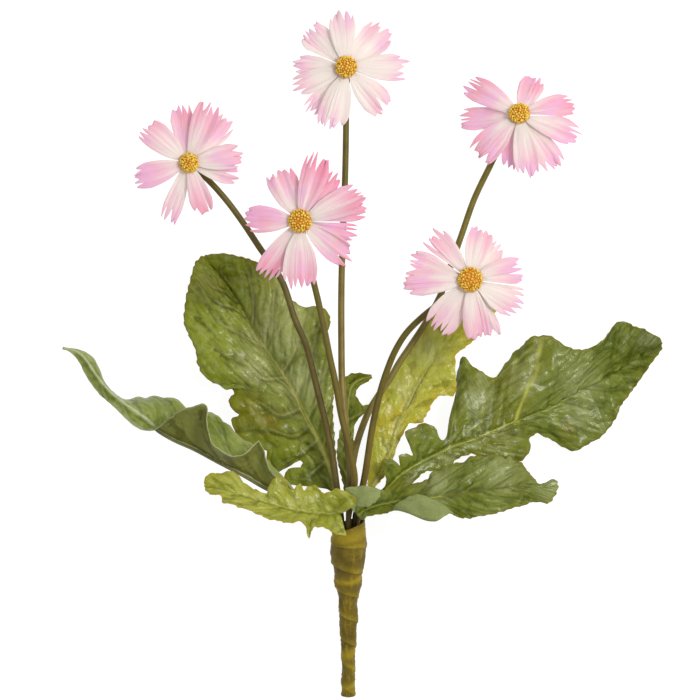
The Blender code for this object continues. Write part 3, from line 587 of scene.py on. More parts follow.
@dataclass(frozen=True)
class StemFinish:
    """Plastic cover of a wire: brown low down, olive above, painted shade dark at its foot and just under the
    bloom.
    """

    name: str
    low: Colour
    high: Colour
    # The darkest colour: dark mottle and lines, and the painted shade at the foot and under the bloom.
    tip: Colour = (0.04, 0.028, 0.006)
    calyx: Colour = (0.12, 0.15, 0.028)

    def material(self) -> bpy.types.Material:
        """Mixes the finish.

        Returns:
            The finish as a node material.
        """
        shader = Shader(self.name, Specular_IOR_Level=0.12, Coat_Weight=0.35, Coat_Roughness=0.4)
        run, place = shader.value("run"), shader.place()
        cloud = shader.cloud(place, 90.0, 4.0)
        lines = shader.cloud(shader.scaled((shader.value("turn"), 22.0), (run, 1.0)), 1.0, 2.0)
        shader.set("Base Color", shader.coated(
            self.low,
            (shader.span(run, 0.1, 0.85), self.high),
            (shader.span(cloud, 0.35, 0.75, 0.0, 0.45), self.tip),
            (shader.span(lines, 0.3, 0.5, 0.5, 0.0), self.tip),
            # Painted shade: dark at the foot among the stems, and just under the bloom.
            (shader.span(run, 0.0, 0.2, 0.8, 0.0), self.tip),
            (shader.span(run, 0.93, 0.985), self.tip),
            (shader.span(run, 1.0, 1.02), self.calyx),
        ))
        shader.set("Roughness", shader.span(cloud, 0.3, 0.7, 0.34, 0.5))
        ridges = shader.relief(lines, 0.08)
        shader.set("Normal", shader.relief(shader.cloud(place, 700.0, 3.0), 0.05, ridges))
        return shader.material


@dataclass(frozen=True)
class LeafFinish:
    """Wax-coated fabric print: pale veins, yellowed margin, patches; painted shade in creases, painted
    silvery crests.
    """

    name: str
    dark: Colour
    mid: Colour
    light: Colour
    vein: Colour
    margin: Colour
    gleam: Colour = (0.38, 0.40, 0.18)
    crease: Colour = (0.06, 0.045, 0.006)
    stain: float = 0.35
    comb: float = 1.0
    thread: float = 0.5
    roughness: tuple[float, float] = (0.25, 0.45)
    gloss: float = 0.12
    wax: float = 0.3

    def material(self) -> bpy.types.Material:
        """Mixes the finish.

        Returns:
            The finish as a node material.
        """
        shader = Shader(self.name, Specular_IOR_Level=self.gloss, Coat_Roughness=0.22)
        place = shader.place()
        broad = shader.cloud(place, 26.0, 3.0)
        small = shader.cloud(place, 150.0, 4.0, 0.6)
        streak, tone = shader.value("streak"), shader.value("tone")
        patch = shader.span(shader.cloud(place, 20.0, 2.0), 0.5, 0.72, 0.0, self.stain)
        mottle = shader.span(small, 0.3, 0.6, 0.6, 1.0)
        stained = shader.times(shader.value("stained"), mottle)
        # The shading value follows the relief: painted light on crests and painted shade in hollows.
        raised = shader.span(tone, 0.25, 0.95, 0.1, 0.6 * self.comb)
        painted_glint = shader.times(shader.span(streak, 0.55, 0.95), raised)
        painted_sheen = shader.times(shader.value("bright"), shader.span(streak, 0.2, 0.9, 0.3, 0.85))
        thread = shader.span(small, 0.3, 0.6, 0.4 * self.thread, self.thread)
        shader.set("Base Color", shader.coated(
            self.mid,
            (shader.span(broad, 0.38, 0.62), self.light),
            (shader.span(small, 0.5, 0.75, 0.0, 0.4), self.dark),
            (shader.math("MAXIMUM", patch, stained), self.margin),
            # Painted light on the relief's crests, painted shade in its hollows.
            (shader.span(tone, 0.5, 1.0, 0.0, 0.6), self.light),
            (shader.span(tone, 0.0, 0.5, 0.85, 0.0), self.dark),
            (shader.span(streak, 0.1, 0.45, 0.5 * self.comb, 0.0), self.dark),
            # Painted highlights: silvery glints on lit crests and sheen in the bright patches.
            (shader.math("MAXIMUM", painted_glint, painted_sheen), self.gleam),
            (shader.times(shader.value("vein"), thread), self.vein),
            (shader.times(shader.value("midrib"), mottle), self.vein),
            # Painted shade in the crease along the rib.
            (shader.value("crease"), self.crease),
            (shader.times(shader.value("margin"), shader.span(small, 0.35, 0.6, 0.35, 0.95)), self.margin),
        ))
        shader.set("Coat Weight", shader.span(tone, 0.05, 0.4, 0.2 * self.wax, self.wax))
        shader.set("Roughness", shader.span(shader.cloud(place, 75.0, 3.0), 0.38, 0.62, *self.roughness))
        net = shader.relief(shader.span(shader.cells(place, 430.0), 0.0, 0.3), 0.1)
        shader.set("Normal", shader.relief(shader.cloud(place, 330.0, 3.0), 0.22, net))
        return shader.material


@dataclass(frozen=True)
class TapeFinish:
    """Wax-coated crepe tape: olive; painted mustard highlights on each turn's edge and the fold crests; fine
    crepe lines across.
    """

    name: str = "olive_tape"
    olive: Colour = (0.165, 0.118, 0.014)
    mustard: Colour = (0.36, 0.265, 0.016)
    shade: Colour = (0.095, 0.066, 0.010)

    def material(self) -> bpy.types.Material:
        """Mixes the finish.

        Returns:
            The finish as a node material.
        """
        shader = Shader(self.name, Specular_IOR_Level=0.14)
        lap, turn, run = shader.value("lap"), shader.value("turn"), shader.value("run")
        cloud = shader.cloud(shader.place(), 160.0, 4.0)
        folds = shader.cloud(shader.scaled((turn, 16.0), (lap, 1.6), (run, 3.0)), 1.0, 3.0)
        # Painted highlight along each turn's lifted edge.
        edge = shader.times(shader.span(lap, 0.62, 0.98), shader.span(cloud, 0.25, 0.6, 1.0, 0.35))
        shader.set("Base Color", shader.coated(
            self.olive,
            (shader.span(cloud, 0.4, 0.75, 0.0, 0.8), self.shade),
            # Painted highlight on the crests of the crepe folds.
            (shader.span(folds, 0.52, 0.72, 0.0, 0.55), self.mustard),
            (shader.math("MAXIMUM", edge, shader.value("bright")), self.mustard),
        ))
        shader.set("Roughness", shader.span(cloud, 0.3, 0.7, 0.45, 0.62))
        crepe = shader.cloud(shader.scaled((turn, 60.0), (lap, 3.0), (run, 1.0)), 1.0, 3.0)
        shader.set("Normal", shader.relief(folds, 0.5, shader.relief(crepe, 0.18)))
        return shader.material


@dataclass(frozen=True)
class FloorFinish:
    """Plain white board that glows a little, as a lit table does."""

    name: str = "white_board"
    colour: Colour = (0.25, 0.25, 0.25)
    glow: float = 0.9

    def material(self) -> bpy.types.Material:
        """Mixes the finish.

        Returns:
            The finish as a node material.
        """
        shader = Shader(
            self.name, Roughness=0.9, Specular_IOR_Level=0.0, Base_Color=(*self.colour, 1.0),
            Emission_Color=(1.0, 1.0, 1.0, 1.0), Emission_Strength=self.glow,
        )
        return shader.material


def finished(
    thing: bpy.types.Object, slot: Slot, nodes: tuple[str, ...], *materials: bpy.types.Material
) -> None:
    """Dresses a piece, seats it on the object and says what it stands for.

    Args:
        thing: The piece.
        slot: The record's slot of its finish.
        nodes: The solids that it replaces, if any.
        materials: Its finishes in order.
    """
    for material in materials:
        thing.data.materials.append(material)
    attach(thing, BODY)
    if nodes:
        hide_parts(*nodes)
    LOG.info("%s: %d faces, slot %s", thing.name, len(thing.data.polygons), slot.value)


@dataclass
class Pick:
    """The taped bundle: its axis, its outline and the winding of the tape."""

    x: float = -7.35
    top_y: float = -84.5
    end_y: float = -170.5
    end_height: float = 2.75
    tilt: float = math.radians(17.7)
    pitch: float = 13.0
    step: float = 0.55
    full_radius: float = 6.0
    rim_slant: float = 2.4
    rim_fade: float = 22.0
    wall: float = 0.7
    mouth: float = 4.0
    lap_rise: float = 1.15
    lap_end: float = 0.965
    lip: float = 0.2
    fold_pace: tuple[float, float, float] = (5.0, 2.2, 0.9)
    fold_size: float = 1.6
    fold_seed: float = 3.1
    fold_depth: float = 0.28
    swell_size: float = 7.0
    swell_seed: float = 8.4
    swell_depth: float = 0.45
    # Lighter mustard bands at given depths, slanting round the pick.
    mustard_band: float = 0.8
    band_tilt: float = 1.6
    band_turn: float = 0.6
    mustard_bands: tuple[tuple[float, float], ...] = ((66.5, 2.6), (84.0, 2.2), (3.0, 3.5), (27.0, 1.5))
    sides: int = 112
    rows: int = 300
    outline: tuple[tuple[float, float], ...] = (
        (0.0, 7.9), (6.0, 8.4), (14.0, 8.6), (19.0, 7.9), (24.0, 6.9), (30.0, 6.6), (35.0, 5.3),
        (41.0, 4.6), (52.0, 4.2), (68.0, 3.5), (80.0, 3.2), (90.5, 3.3),
    )

    def __post_init__(self) -> None:
        """Works out the pick's axes."""
        self.axis = np.array((0.0, math.cos(self.tilt), math.sin(self.tilt)))
        self.side = np.array((1.0, 0.0, 0.0))
        self.front = np.array((0.0, -math.sin(self.tilt), math.cos(self.tilt)))
        rise = (self.top_y - self.end_y) * math.tan(self.tilt)
        self.top = np.array((self.x, self.top_y, self.end_height + rise))
        self.length = (self.top_y - self.end_y) / math.cos(self.tilt)

    def seat(self, side: float, front: float, depth: float) -> np.ndarray:
        """A point of the pick.

        Args:
            side: Sideways from its axis.
            front: Forwards from it.
            depth: Down from its rim.

        Returns:
            The point in millimetres.
        """
        return self.top + side * self.side + front * self.front - depth * self.axis

    def build(self, finish: TapeFinish) -> None:
        """Winds the tape.

        Args:
            finish: The tape's looks.
        """
        depths = np.linspace(0.0, self.length, self.rows)
        knots, widths = np.array(self.outline).T
        radii = through(knots, widths[:, None], depths)[:, 0]
        turn = np.arange(self.sides) / self.sides
        angle = turn * math.tau
        wound = depths[:, None] / self.pitch + turn
        lap = wound % 1.0
        lift = self.step * np.minimum(1.0, radii / self.full_radius)[:, None]
        lifted = np.clip(lap * self.lap_rise, 0.0, 1.0) * (1 - ease(lap, self.lap_end, 1.0))
        reach = radii[:, None] + lift * lifted
        slide = -self.rim_slant * np.cos(angle) * (1 - ease(depths, 0.0, self.rim_fade))[:, None]
        depth = depths[:, None] + slide
        down = depth[..., None] * self.axis
        around = np.cos(angle)[:, None] * self.side + np.sin(angle)[:, None] * self.front
        wall = self.top + reach[..., None] * around - down
        wound_pace, turn_pace, depth_pace = self.fold_pace
        creased = spread(wound * wound_pace, angle * turn_pace + wound, depths[:, None] * depth_pace)
        folds = ripple(creased, self.fold_size, self.fold_seed)
        swell = ripple(wall, self.swell_size, self.swell_seed)
        outward = unit(wall - (self.top - down))
        wall = wall + outward * (self.fold_depth * folds + self.swell_depth * swell)[..., None]
        lip = wall[0] - outward[0] * self.wall + self.axis * self.lip
        well = wall[0] - outward[0] * (self.wall + self.lip) - self.axis * self.mouth
        inner = [well + (well.mean(axis=0) - well) * 0.98, well, lip]
        last = wall[-1] + (wall[-1].mean(axis=0) - wall[-1]) * 0.97
        points = np.concatenate([inner, wall, [last]])
        rows, extra = len(points), len(inner)
        # Lighter mustard bands, carried as the bright value.
        mustard_band = np.zeros_like(lap)
        for centre, width in self.mustard_bands:
            tilted = depth - centre - self.band_tilt * np.sin(angle - self.band_turn)
            mustard_band = np.maximum(mustard_band, bell(tilted, width) * self.mustard_band)
        blank = np.zeros((extra, self.sides))
        run = np.concatenate([np.zeros(extra), depths / self.length, [1.0]])
        sheet = Sheet()
        sheet.add(
            points, grid_faces(rows, self.sides, closed=True), lap=np.concatenate([blank, lap, lap[-1:]]),
            bright=np.concatenate([blank, mustard_band, blank[:1]]), turn=np.tile(turn, rows),
            run=np.repeat(run, self.sides),
        )
        sheet.faces.append(np.arange(self.sides)[None, ::-1])
        sheet.faces.append(((rows - 1) * self.sides + np.arange(self.sides))[None, :])
        finished(sheet.object("tape_winding"), Slot.TAPE, ("taped_pick",), finish.material())


@dataclass
class Bloom:
    """A flower head: its place, the way it looks, its petals and its stem's way."""

    key: str
    hub: Point
    face: Point
    eye: float
    droop: float
    front: tuple[Petal, ...]
    back: tuple[Petal, ...]
    root: tuple[float, float]
    route: Route
    blush: float
    cover: Colour = (0.165, 0.118, 0.016)
    crown: Colour = (0.13, 0.105, 0.008)

    def __post_init__(self) -> None:
        """Works out the bloom's own directions."""
        self.out = unit(self.face)
        self.side = unit(np.array((1.0, 0.0, 0.0)) - self.out * self.out[0])
        self.up = np.cross(self.out, self.side)

    def place(self, flat: np.ndarray) -> np.ndarray:
        """Turns points of the bloom's own axes into points of the bush."""
        right, up, out = flat[..., :1], flat[..., 1:2], flat[..., 2:]
        return np.array(self.hub) + right * self.side + up * self.up + out * self.out


@dataclass
class Corolla:
    """One die-cut layer of toothed petals.

    The dice draw what the solid's fringe has too, the spare ones what only these finer petals have.
    """

    bloom: Bloom
    layer: Layer
    dice: random.Random
    spare: random.Random
    thickness: float = 0.4
    front_height: float = 0.2
    back_height: float = -0.7
    hub_radius: float = 3.3
    ring_drop: float = 0.12
    ring_radii: tuple[float, float] = (1.3, 2.4)
    ring_overlap: float = 0.4
    ring_sides: int = 36
    root_radius: float = 1.5
    root_width: float = 4.0
    root_half: float = 1.4
    width_places: tuple[float, ...] = (0.40, 0.68, 0.79, 1.05)
    width_shares: tuple[float, ...] = (0.38, 0.485, 0.5, 0.47)
    least_half: float = 0.2
    gap: float = 0.3
    widest_half: float = 60.0
    petal_rise: float = 2.4
    petal_lift: float = 0.6
    cup: float = 0.1
    parting: float = 2.6
    parting_pace: float = 1.6
    tooth_width: float = 2.7
    tooth_fall: float = 0.10
    tooth_varies: float = 0.06
    notch_reach: float = 0.79
    notch_fall: float = 0.06
    notch_varies: float = 0.02
    tooth_widths: tuple[float, float] = (0.6, 1.4)
    rips: tuple[float, ...] = (-0.15, -0.12, -0.07, -0.04, 0.0, 0.07)
    rip_varies: float = 0.03
    sharpness: tuple[float, float] = (1.0, 1.9)
    tip_varies: tuple[float, float] = (-0.03, 0.06)
    least_tooth: float = 0.02
    fringe_room: float = 0.05
    fringe_start: float = 0.42
    tooth_lean: float = 0.9
    tooth_curl: tuple[float, float] = (-1.0, 0.7)
    curl_reach: tuple[float, float] = (0.72, 1.05)
    twist: float = 5.0
    bow: tuple[float, float] = (-0.5, 0.6)
    groove: tuple[float, float] = (0.0, 0.2)
    groove_reach: tuple[float, float] = (0.12, 0.6)
    waves: tuple[float, float] = (1.0, 1.9)
    wave_height: tuple[float, float] = (0.15, 0.5)
    wave_reach: tuple[float, float] = (0.1, 0.7)
    fibre_depth: float = 0.06
    fibre_shift: float = 6.0
    edge_lift: tuple[float, float] = (-0.2, 1.0)
    edge_reach: tuple[float, float] = (0.2, 0.7)
    rows: int = 24
    tooth_columns: int = 8

    @property
    def base_height(self) -> float:
        """Where the layer sits on the bloom's axis."""
        return self.front_height if self.layer is Layer.FRONT else self.back_height

    def height(self, share: np.ndarray, lift: float) -> np.ndarray:
        """How far a petal's middle stands over the hub.

        Args:
            share: Places along the petal.
            lift: How much this petal rises more than its neighbours.

        Returns:
            The heights.
        """
        rise = self.petal_rise * share - self.bloom.droop * share * share + lift * share
        if self.layer is Layer.BACK:
            rise = rise - self.parting * np.minimum(1.0, self.parting_pace * share)
        return rise

    def fringe(self, teeth: int) -> tuple[np.ndarray, float]:
        """Draws the tips and notches of one petal, as its solid has them.

        Args:
            teeth: How many teeth.

        Returns:
            Their shares of the petal's length.
        """
        shares = []
        for number in range(2 * teeth + 1):
            across = number / teeth - 1.0
            if number % 2:
                share = 1.0 - self.tooth_fall * across * across
                shares.append(share - self.dice.uniform(0.0, self.tooth_varies))
            else:
                share = self.notch_reach - self.notch_fall * across * across
                shares.append(share + self.dice.uniform(-self.notch_varies, self.notch_varies))
        return np.array(shares)

    def drawn(self, limits: tuple[float, float], count: int) -> np.ndarray:
        """Spare draws between two limits."""
        return np.array([self.spare.uniform(*limits) for _ in range(count)])

    def toothed(self, teeth: int, shares: np.ndarray) -> tuple[np.ndarray, ...]:
        """Tears the fringe's teeth, of many widths, by the solid's tips and notches.

        Args:
            teeth: How many teeth.
            shares: The solid's tips and notches, as shares of the petal's length.

        Returns:
            For each column its tooth, its place in the tooth, its place across the petal, its reach.
        """
        columns = np.arange(teeth * self.tooth_columns + 1)
        tooth = np.minimum(columns // self.tooth_columns, teeth - 1)
        within = (columns - tooth * self.tooth_columns) / self.tooth_columns
        widths = self.drawn(self.tooth_widths, teeth)
        cuts = np.concatenate([[0.0], np.cumsum(widths)]) / widths.sum() * 2 - 1
        u = cuts[tooth] + (cuts[tooth + 1] - cuts[tooth]) * within
        rips = [
            self.spare.choice(self.rips) + self.spare.uniform(-self.rip_varies, self.rip_varies)
            for _ in range(teeth - 1)
        ]
        notches = shares[::2] - np.array([0.0, *rips, 0.0])
        foot = np.where(within < 0.5, notches[tooth], notches[tooth + 1])
        sharp = self.drawn(self.sharpness, teeth)[tooth]
        tips = shares[1::2] + self.drawn(self.tip_varies, teeth)
        top = np.maximum(tips[tooth], foot + self.least_tooth)
        return tooth, within, u, foot + (top - foot) * (1 - np.abs(2 * within - 1) ** sharp)

    def half_widths(
        self, v: np.ndarray, u: np.ndarray, length: float, width: float, room: tuple[float, float]
    ) -> np.ndarray:
        """How wide half a petal is, kept clear of the petals beside it.

        Args:
            v: Places along the petal.
            u: Places across it, whose sign says which half.
            length: The petal's length.
            width: Its width.
            room: Half the angle to the next petal on each side, in degrees.

        Returns:
            The half width at each place.
        """
        knots = np.array([self.root_radius / length, self.hub_radius / length, *self.width_places])
        outer = [share * width for share in self.width_shares]
        halves = np.array([self.root_half, self.root_width / 2, *outer])
        profile = through(knots, halves[:, None], v.ravel()).reshape(v.shape)
        turns = [math.radians(min(turn, self.widest_half)) for turn in room]
        left, right = (length * v * math.tan(turn) - self.gap for turn in turns)
        return np.maximum(np.minimum(profile, np.where(u < 0, left, right)), self.least_half)

    def pressed(
        self, v: np.ndarray, u: np.ndarray, across: np.ndarray, tooth: np.ndarray, within: np.ndarray,
        lift: float,
    ) -> np.ndarray:
        """Presses furrows, folds and curls into a petal.

        Args:
            v: Places along the petal.
            u: Places across it, from -1 to 1.
            across: Places across it, in millimetres.
            tooth: The tooth of each column.
            within: Each column's place in its tooth.
            lift: How much this petal rises more than its neighbours.

        Returns:
            The height at each place.
        """
        spare = self.spare
        teeth = tooth[-1] + 1
        curl = self.drawn(self.tooth_curl, teeth)[tooth]
        twist = math.tan(math.radians(spare.uniform(-self.twist, self.twist)))
        bow = spare.uniform(*self.bow)
        depth = np.interp(u, np.linspace(-1, 1, teeth + 2), self.drawn(self.groove, teeth + 2))
        furrow = -np.cos(math.tau * (tooth + within)) * depth * ease(v, *self.groove_reach)
        folds = np.cos(math.pi * (spare.uniform(*self.waves) * u + spare.uniform(0.0, 2.0)))
        furrow = furrow + spare.uniform(*self.wave_height) * folds * ease(v, *self.wave_reach)
        shift = spare.uniform(0.0, self.fibre_shift)
        fine = self.fibre_depth * np.cos(math.pi * (2.0 * teeth + 1.0) * (u + 1.0) + shift)
        edge = spare.uniform(*self.edge_lift) * np.abs(u) ** 3 * ease(v, *self.edge_reach)
        level = self.height(v, lift) - self.cup * v * np.abs(across)
        level = level + furrow + fine + edge + across * twist * v
        return level + curl * ease(v, *self.curl_reach) + bow * np.sin(math.pi * np.clip(v, 0, 1))

    def petal(self, sheet: Sheet, petal: Petal, room: tuple[float, float]) -> None:
        """Adds one petal.

        Args:
            sheet: The layer's mesh.
            petal: Its azimuth in degrees, length and width.
            room: Half the angle to the next petal on each side, in degrees.
        """
        azimuth, length, width = petal
        lift = self.dice.uniform(-self.petal_lift, self.petal_lift)
        teeth = max(3, round(width / self.tooth_width))
        tooth, within, u, reach = self.toothed(teeth, self.fringe(teeth))
        root = self.root_radius / length
        base = self.notch_reach - self.fringe_room
        q = np.linspace(0.0, 1.0, self.rows)[:, None]
        v = root + (base - root) * q + ease(q, self.fringe_start, 1.0) * (reach - base)
        half = self.half_widths(v, u, length, width, room)
        lean = self.drawn((-self.tooth_lean, self.tooth_lean), teeth)[tooth]
        across = u * half + lean * ease(v, base, 1.0) * (1 - u**2)
        level = self.pressed(v, u, across, tooth, within, lift)
        radius, angle = v * length, math.radians(azimuth)
        flat = spread(
            radius * math.cos(angle) - across * math.sin(angle),
            radius * math.sin(angle) + across * math.cos(angle),
            self.base_height + level,
        )
        sheet.add(
            self.bloom.place(flat), grid_faces(self.rows, len(u))[:, ::-1],
            run=v, across=np.broadcast_to(u, v.shape), shade=self.spare.random(),
        )

    def build(self, material: bpy.types.Material) -> None:
        """Cuts and presses the layer.

        Args:
            material: The petals' finish.
        """
        petals = sorted(self.bloom.front if self.layer is Layer.FRONT else self.bloom.back)
        sheet = Sheet()
        for number, petal in enumerate(petals):
            before = petals[number - 1][0]
            after = petals[(number + 1) % len(petals)][0]
            room = (((petal[0] - before) % 360) / 2, ((after - petal[0]) % 360) / 2)
            self.petal(sheet, petal, room)
        self.ring(sheet)
        node = f"petals_{self.bloom.key}_{self.layer.value}"
        thing = sheet.object(f"{node}_fabric")
        thicken(thing, self.thickness)
        finished(thing, Slot.PETAL, (node,), material)

    def ring(self, sheet: Sheet) -> None:
        """Adds the middle that the petals grow from.

        Args:
            sheet: The layer's mesh.
        """
        radii = np.array([*self.ring_radii, self.hub_radius + self.ring_overlap])
        heights = np.full(len(radii), self.base_height - self.ring_drop)
        flat = rings(radii, heights, self.ring_sides)
        faces = grid_faces(len(radii), self.ring_sides, closed=True)[:, ::-1]
        sheet.add(self.bloom.place(flat), faces, run=0.05, across=0.0, shade=0.5)


@dataclass
class Eye:
    """The yellow button of a bloom: a dome set with flocked beads."""

    bloom: Bloom
    spare: random.Random
    base: float = 0.8
    height: float = 4.3
    wrap: float = math.radians(112)
    inset: float = 0.15
    fullness: float = 0.92
    rise: tuple[float, float] = (0.36, 0.64)
    pad_inset: float = 0.35
    pad_drop: float = 0.3
    pad_run: float = 0.6
    crowding: tuple[float, float] = (0.93, 0.07)
    beads: int = 150
    bead_radius: float = 0.58
    bead_sizes: tuple[float, float] = (0.72, 1.2)
    bead_shift: float = 0.1
    bead_sink: tuple[float, float] = (-0.3, 0.15)
    bead_rows: int = 6
    bead_sides: int = 8
    bead_pole: float = 0.12
    rows: int = 12
    sides: int = 28

    def dome(self, share: np.ndarray) -> tuple[np.ndarray, np.ndarray]:
        """The dome's outline.

        Args:
            share: Places from its crown to its foot.

        Returns:
            The reach and the height at each.
        """
        angle = share * self.wrap
        reach = (self.bloom.eye - self.inset) * np.sin(angle) ** self.fullness
        height = self.base + self.height * (self.rise[0] + self.rise[1] * np.cos(angle))
        return reach, height

    def build(self, material: bpy.types.Material) -> None:
        """Sets the beads.

        Args:
            material: Their finish.
        """
        sheet = Sheet()
        share = np.linspace(0.02, 1.0, self.rows)
        reach, height = self.dome(share)
        # The dome under the beads has tip 0, so it is painted with the full orange shade.
        sheet.add(
            self.bloom.place(rings(reach - self.pad_inset, height - self.pad_drop, self.sides)),
            grid_faces(self.rows, self.sides, closed=True)[:, ::-1],
            run=np.repeat((1 - share) * self.pad_run, self.sides), shade=0.3, tip=0.0,
        )
        sheet.faces.append(np.arange(self.sides)[None, :])
        sheet.faces.append(((self.rows - 1) * self.sides + np.arange(self.sides))[None, ::-1])
        ball_points, ball_faces = self.ball()
        golden = math.pi * (3 - math.sqrt(5))
        for number in range(self.beads):
            place = math.sqrt((number + 0.5) / self.beads)
            place = place * (self.crowding[0] + self.crowding[1] * place)
            wide, tall = map(float, self.dome(np.array(place)))
            angle = number * golden + self.spare.uniform(-self.bead_shift, self.bead_shift)
            centre = np.array((wide * math.cos(angle), wide * math.sin(angle), tall))
            size = self.bead_radius * self.spare.uniform(*self.bead_sizes)
            outward = unit(centre - np.array((0.0, 0.0, self.base)))
            centre = centre + outward * self.spare.uniform(*self.bead_sink)
            # tip runs from 0 where a bead faces the dome to 1 at its top; a low tip is painted in orange
            # shade.
            sheet.add(
                self.bloom.place(centre + ball_points * size), ball_faces, run=1 - place,
                shade=self.spare.random(), tip=(ball_points @ outward + 1) / 2,
            )
        thing = sheet.object(f"eye_{self.bloom.key}_beads")
        finished(thing, Slot.CENTRE, (f"eye_{self.bloom.key}",), material)

    def ball(self) -> tuple[np.ndarray, np.ndarray]:
        """A small round bead of radius 1.

        Returns:
            Its points and faces.
        """
        rows, sides = self.bead_rows, self.bead_sides
        polar = np.linspace(self.bead_pole, math.pi - self.bead_pole, rows)
        points = rings(np.sin(polar), -np.cos(polar), sides).reshape(-1, 3)
        caps = []
        for start, order in ((0, -1), ((rows - 1) * sides, 1)):
            ring = (start + np.arange(sides))[::order]
            caps += [[ring[0], *ring[k:k + 3]] for k in range(1, sides - 2, 2)]
        return points, np.vstack([grid_faces(rows, sides, closed=True), caps])


@dataclass
class Stem:
    """A covered wire with its calyx cup and the peg that holds the bloom."""

    bloom: Bloom
    pick: Pick
    root_radius: float = 1.2
    radius: float = 1.75
    swell: float = 0.08
    taper: float = 0.12
    lead: float = 3.0
    neck_lead: float = 2.5
    calyx_radius: float = 3.0
    calyx_length: float = 7.0
    calyx_top: float = -1.35
    calyx_places: tuple[float, ...] = (0.0, 0.35, 0.75, 0.93, 1.0)
    calyx_shares: tuple[float, ...] = (0.62, 0.92, 1.03, 0.94)
    calyx_ribs: int = 8
    calyx_rib_height: float = 0.045
    calyx_rows: int = 22
    calyx_run: float = 1.03
    peg_radius: float = 0.9
    peg_reach: tuple[float, float] = (0.05, 0.8)
    foot_depths: tuple[float, float] = (6.0, 0.6)
    foot_rows: int = 4
    sides: int = 24
    rows: int = 150

    def build(self, finish: StemFinish) -> None:
        """Draws the wire and turns the cup.

        Args:
            finish: The cover's looks.
        """
        bloom, pick = self.bloom, self.pick
        hub = np.array(bloom.hub)
        rim = pick.seat(*bloom.root, 0.0)
        neck = hub + bloom.out * (self.calyx_top - self.calyx_length)
        low, high = rim + self.lead * pick.axis, neck - self.neck_lead * bloom.out
        bends = np.array([rim, low, *bloom.route, high, neck])
        share = np.linspace(0.0, 1.0, self.rows)
        line = through(along(bends), bends, share)
        radius = self.root_radius + (self.radius - self.root_radius) * np.minimum(1.0, share / self.swell)
        radius = radius * (1 - self.taper * share)
        cup = np.linspace(0.0, 1.0, self.calyx_rows)[1:]
        cup_line = neck + bloom.out * self.calyx_length * cup[:, None]
        widths = np.array([radius[-1], *(self.calyx_radius * part for part in self.calyx_shares)])
        cup_radius = through(self.calyx_places, widths[:, None], cup)[:, 0]
        peg_line = hub + bloom.out * (self.calyx_top + np.array(self.peg_reach))[:, None]
        depths = np.linspace(*self.foot_depths, self.foot_rows)
        foot = np.array([pick.seat(*bloom.root, depth) for depth in depths])
        radii = np.concatenate([
            np.full(len(foot), self.root_radius), radius, cup_radius, np.full(len(peg_line), self.peg_radius),
        ])
        above = np.full(len(cup) + len(peg_line), self.calyx_run)
        run = np.concatenate([np.zeros(len(foot)), share, above])
        walls = np.repeat(radii[:, None], self.sides, axis=1)
        first = len(foot) + self.rows
        ribs = self.calyx_rib_height * np.sin(cup * math.pi / 2)[:, None]
        walls[first:first + len(cup)] *= 1 + ribs * np.cos(circle(self.sides) * self.calyx_ribs)
        sheet = Sheet()
        capped(sheet, np.vstack([foot, line, cup_line, peg_line]), walls, self.sides, run=run)
        thing = sheet.object(f"stem_{bloom.key}_cover")
        finished(thing, Slot.STEM, (f"stem_{bloom.key}",), finish.material())


@dataclass(frozen=True)
class Fold:
    """A lobe folded over onto the blade's front: its half, its reach along the rib, how far it comes back."""

    side: int
    start: float
    end: float
    back: float
    height: float = 1.8
    fullness: float = 0.6
    roundness: float = 0.07


@dataclass(frozen=True)
class Survey:
    """A blade's smooth surface and what is known of each of its points.

    A pair holds the gap to the nearest line of a kind, in millimetres, and the share of that line's length at
    the nearest place.
    """

    shares: np.ndarray
    across: np.ndarray
    smooth: np.ndarray
    fronts: np.ndarray
    outs: np.ndarray
    rib_gap: np.ndarray
    reach: np.ndarray
    room: np.ndarray
    veins: tuple[np.ndarray, np.ndarray]
    cords: tuple[np.ndarray, np.ndarray]
    # Lines along which the painted vein shadows run.
    shades: tuple[np.ndarray, np.ndarray]

    @property
    def left(self) -> np.ndarray:
        """Which columns are on the left half."""
        return self.across < 0

    @property
    def along(self) -> np.ndarray:
        """The share of the rib's length, as a column."""
        return self.shares[:, None]


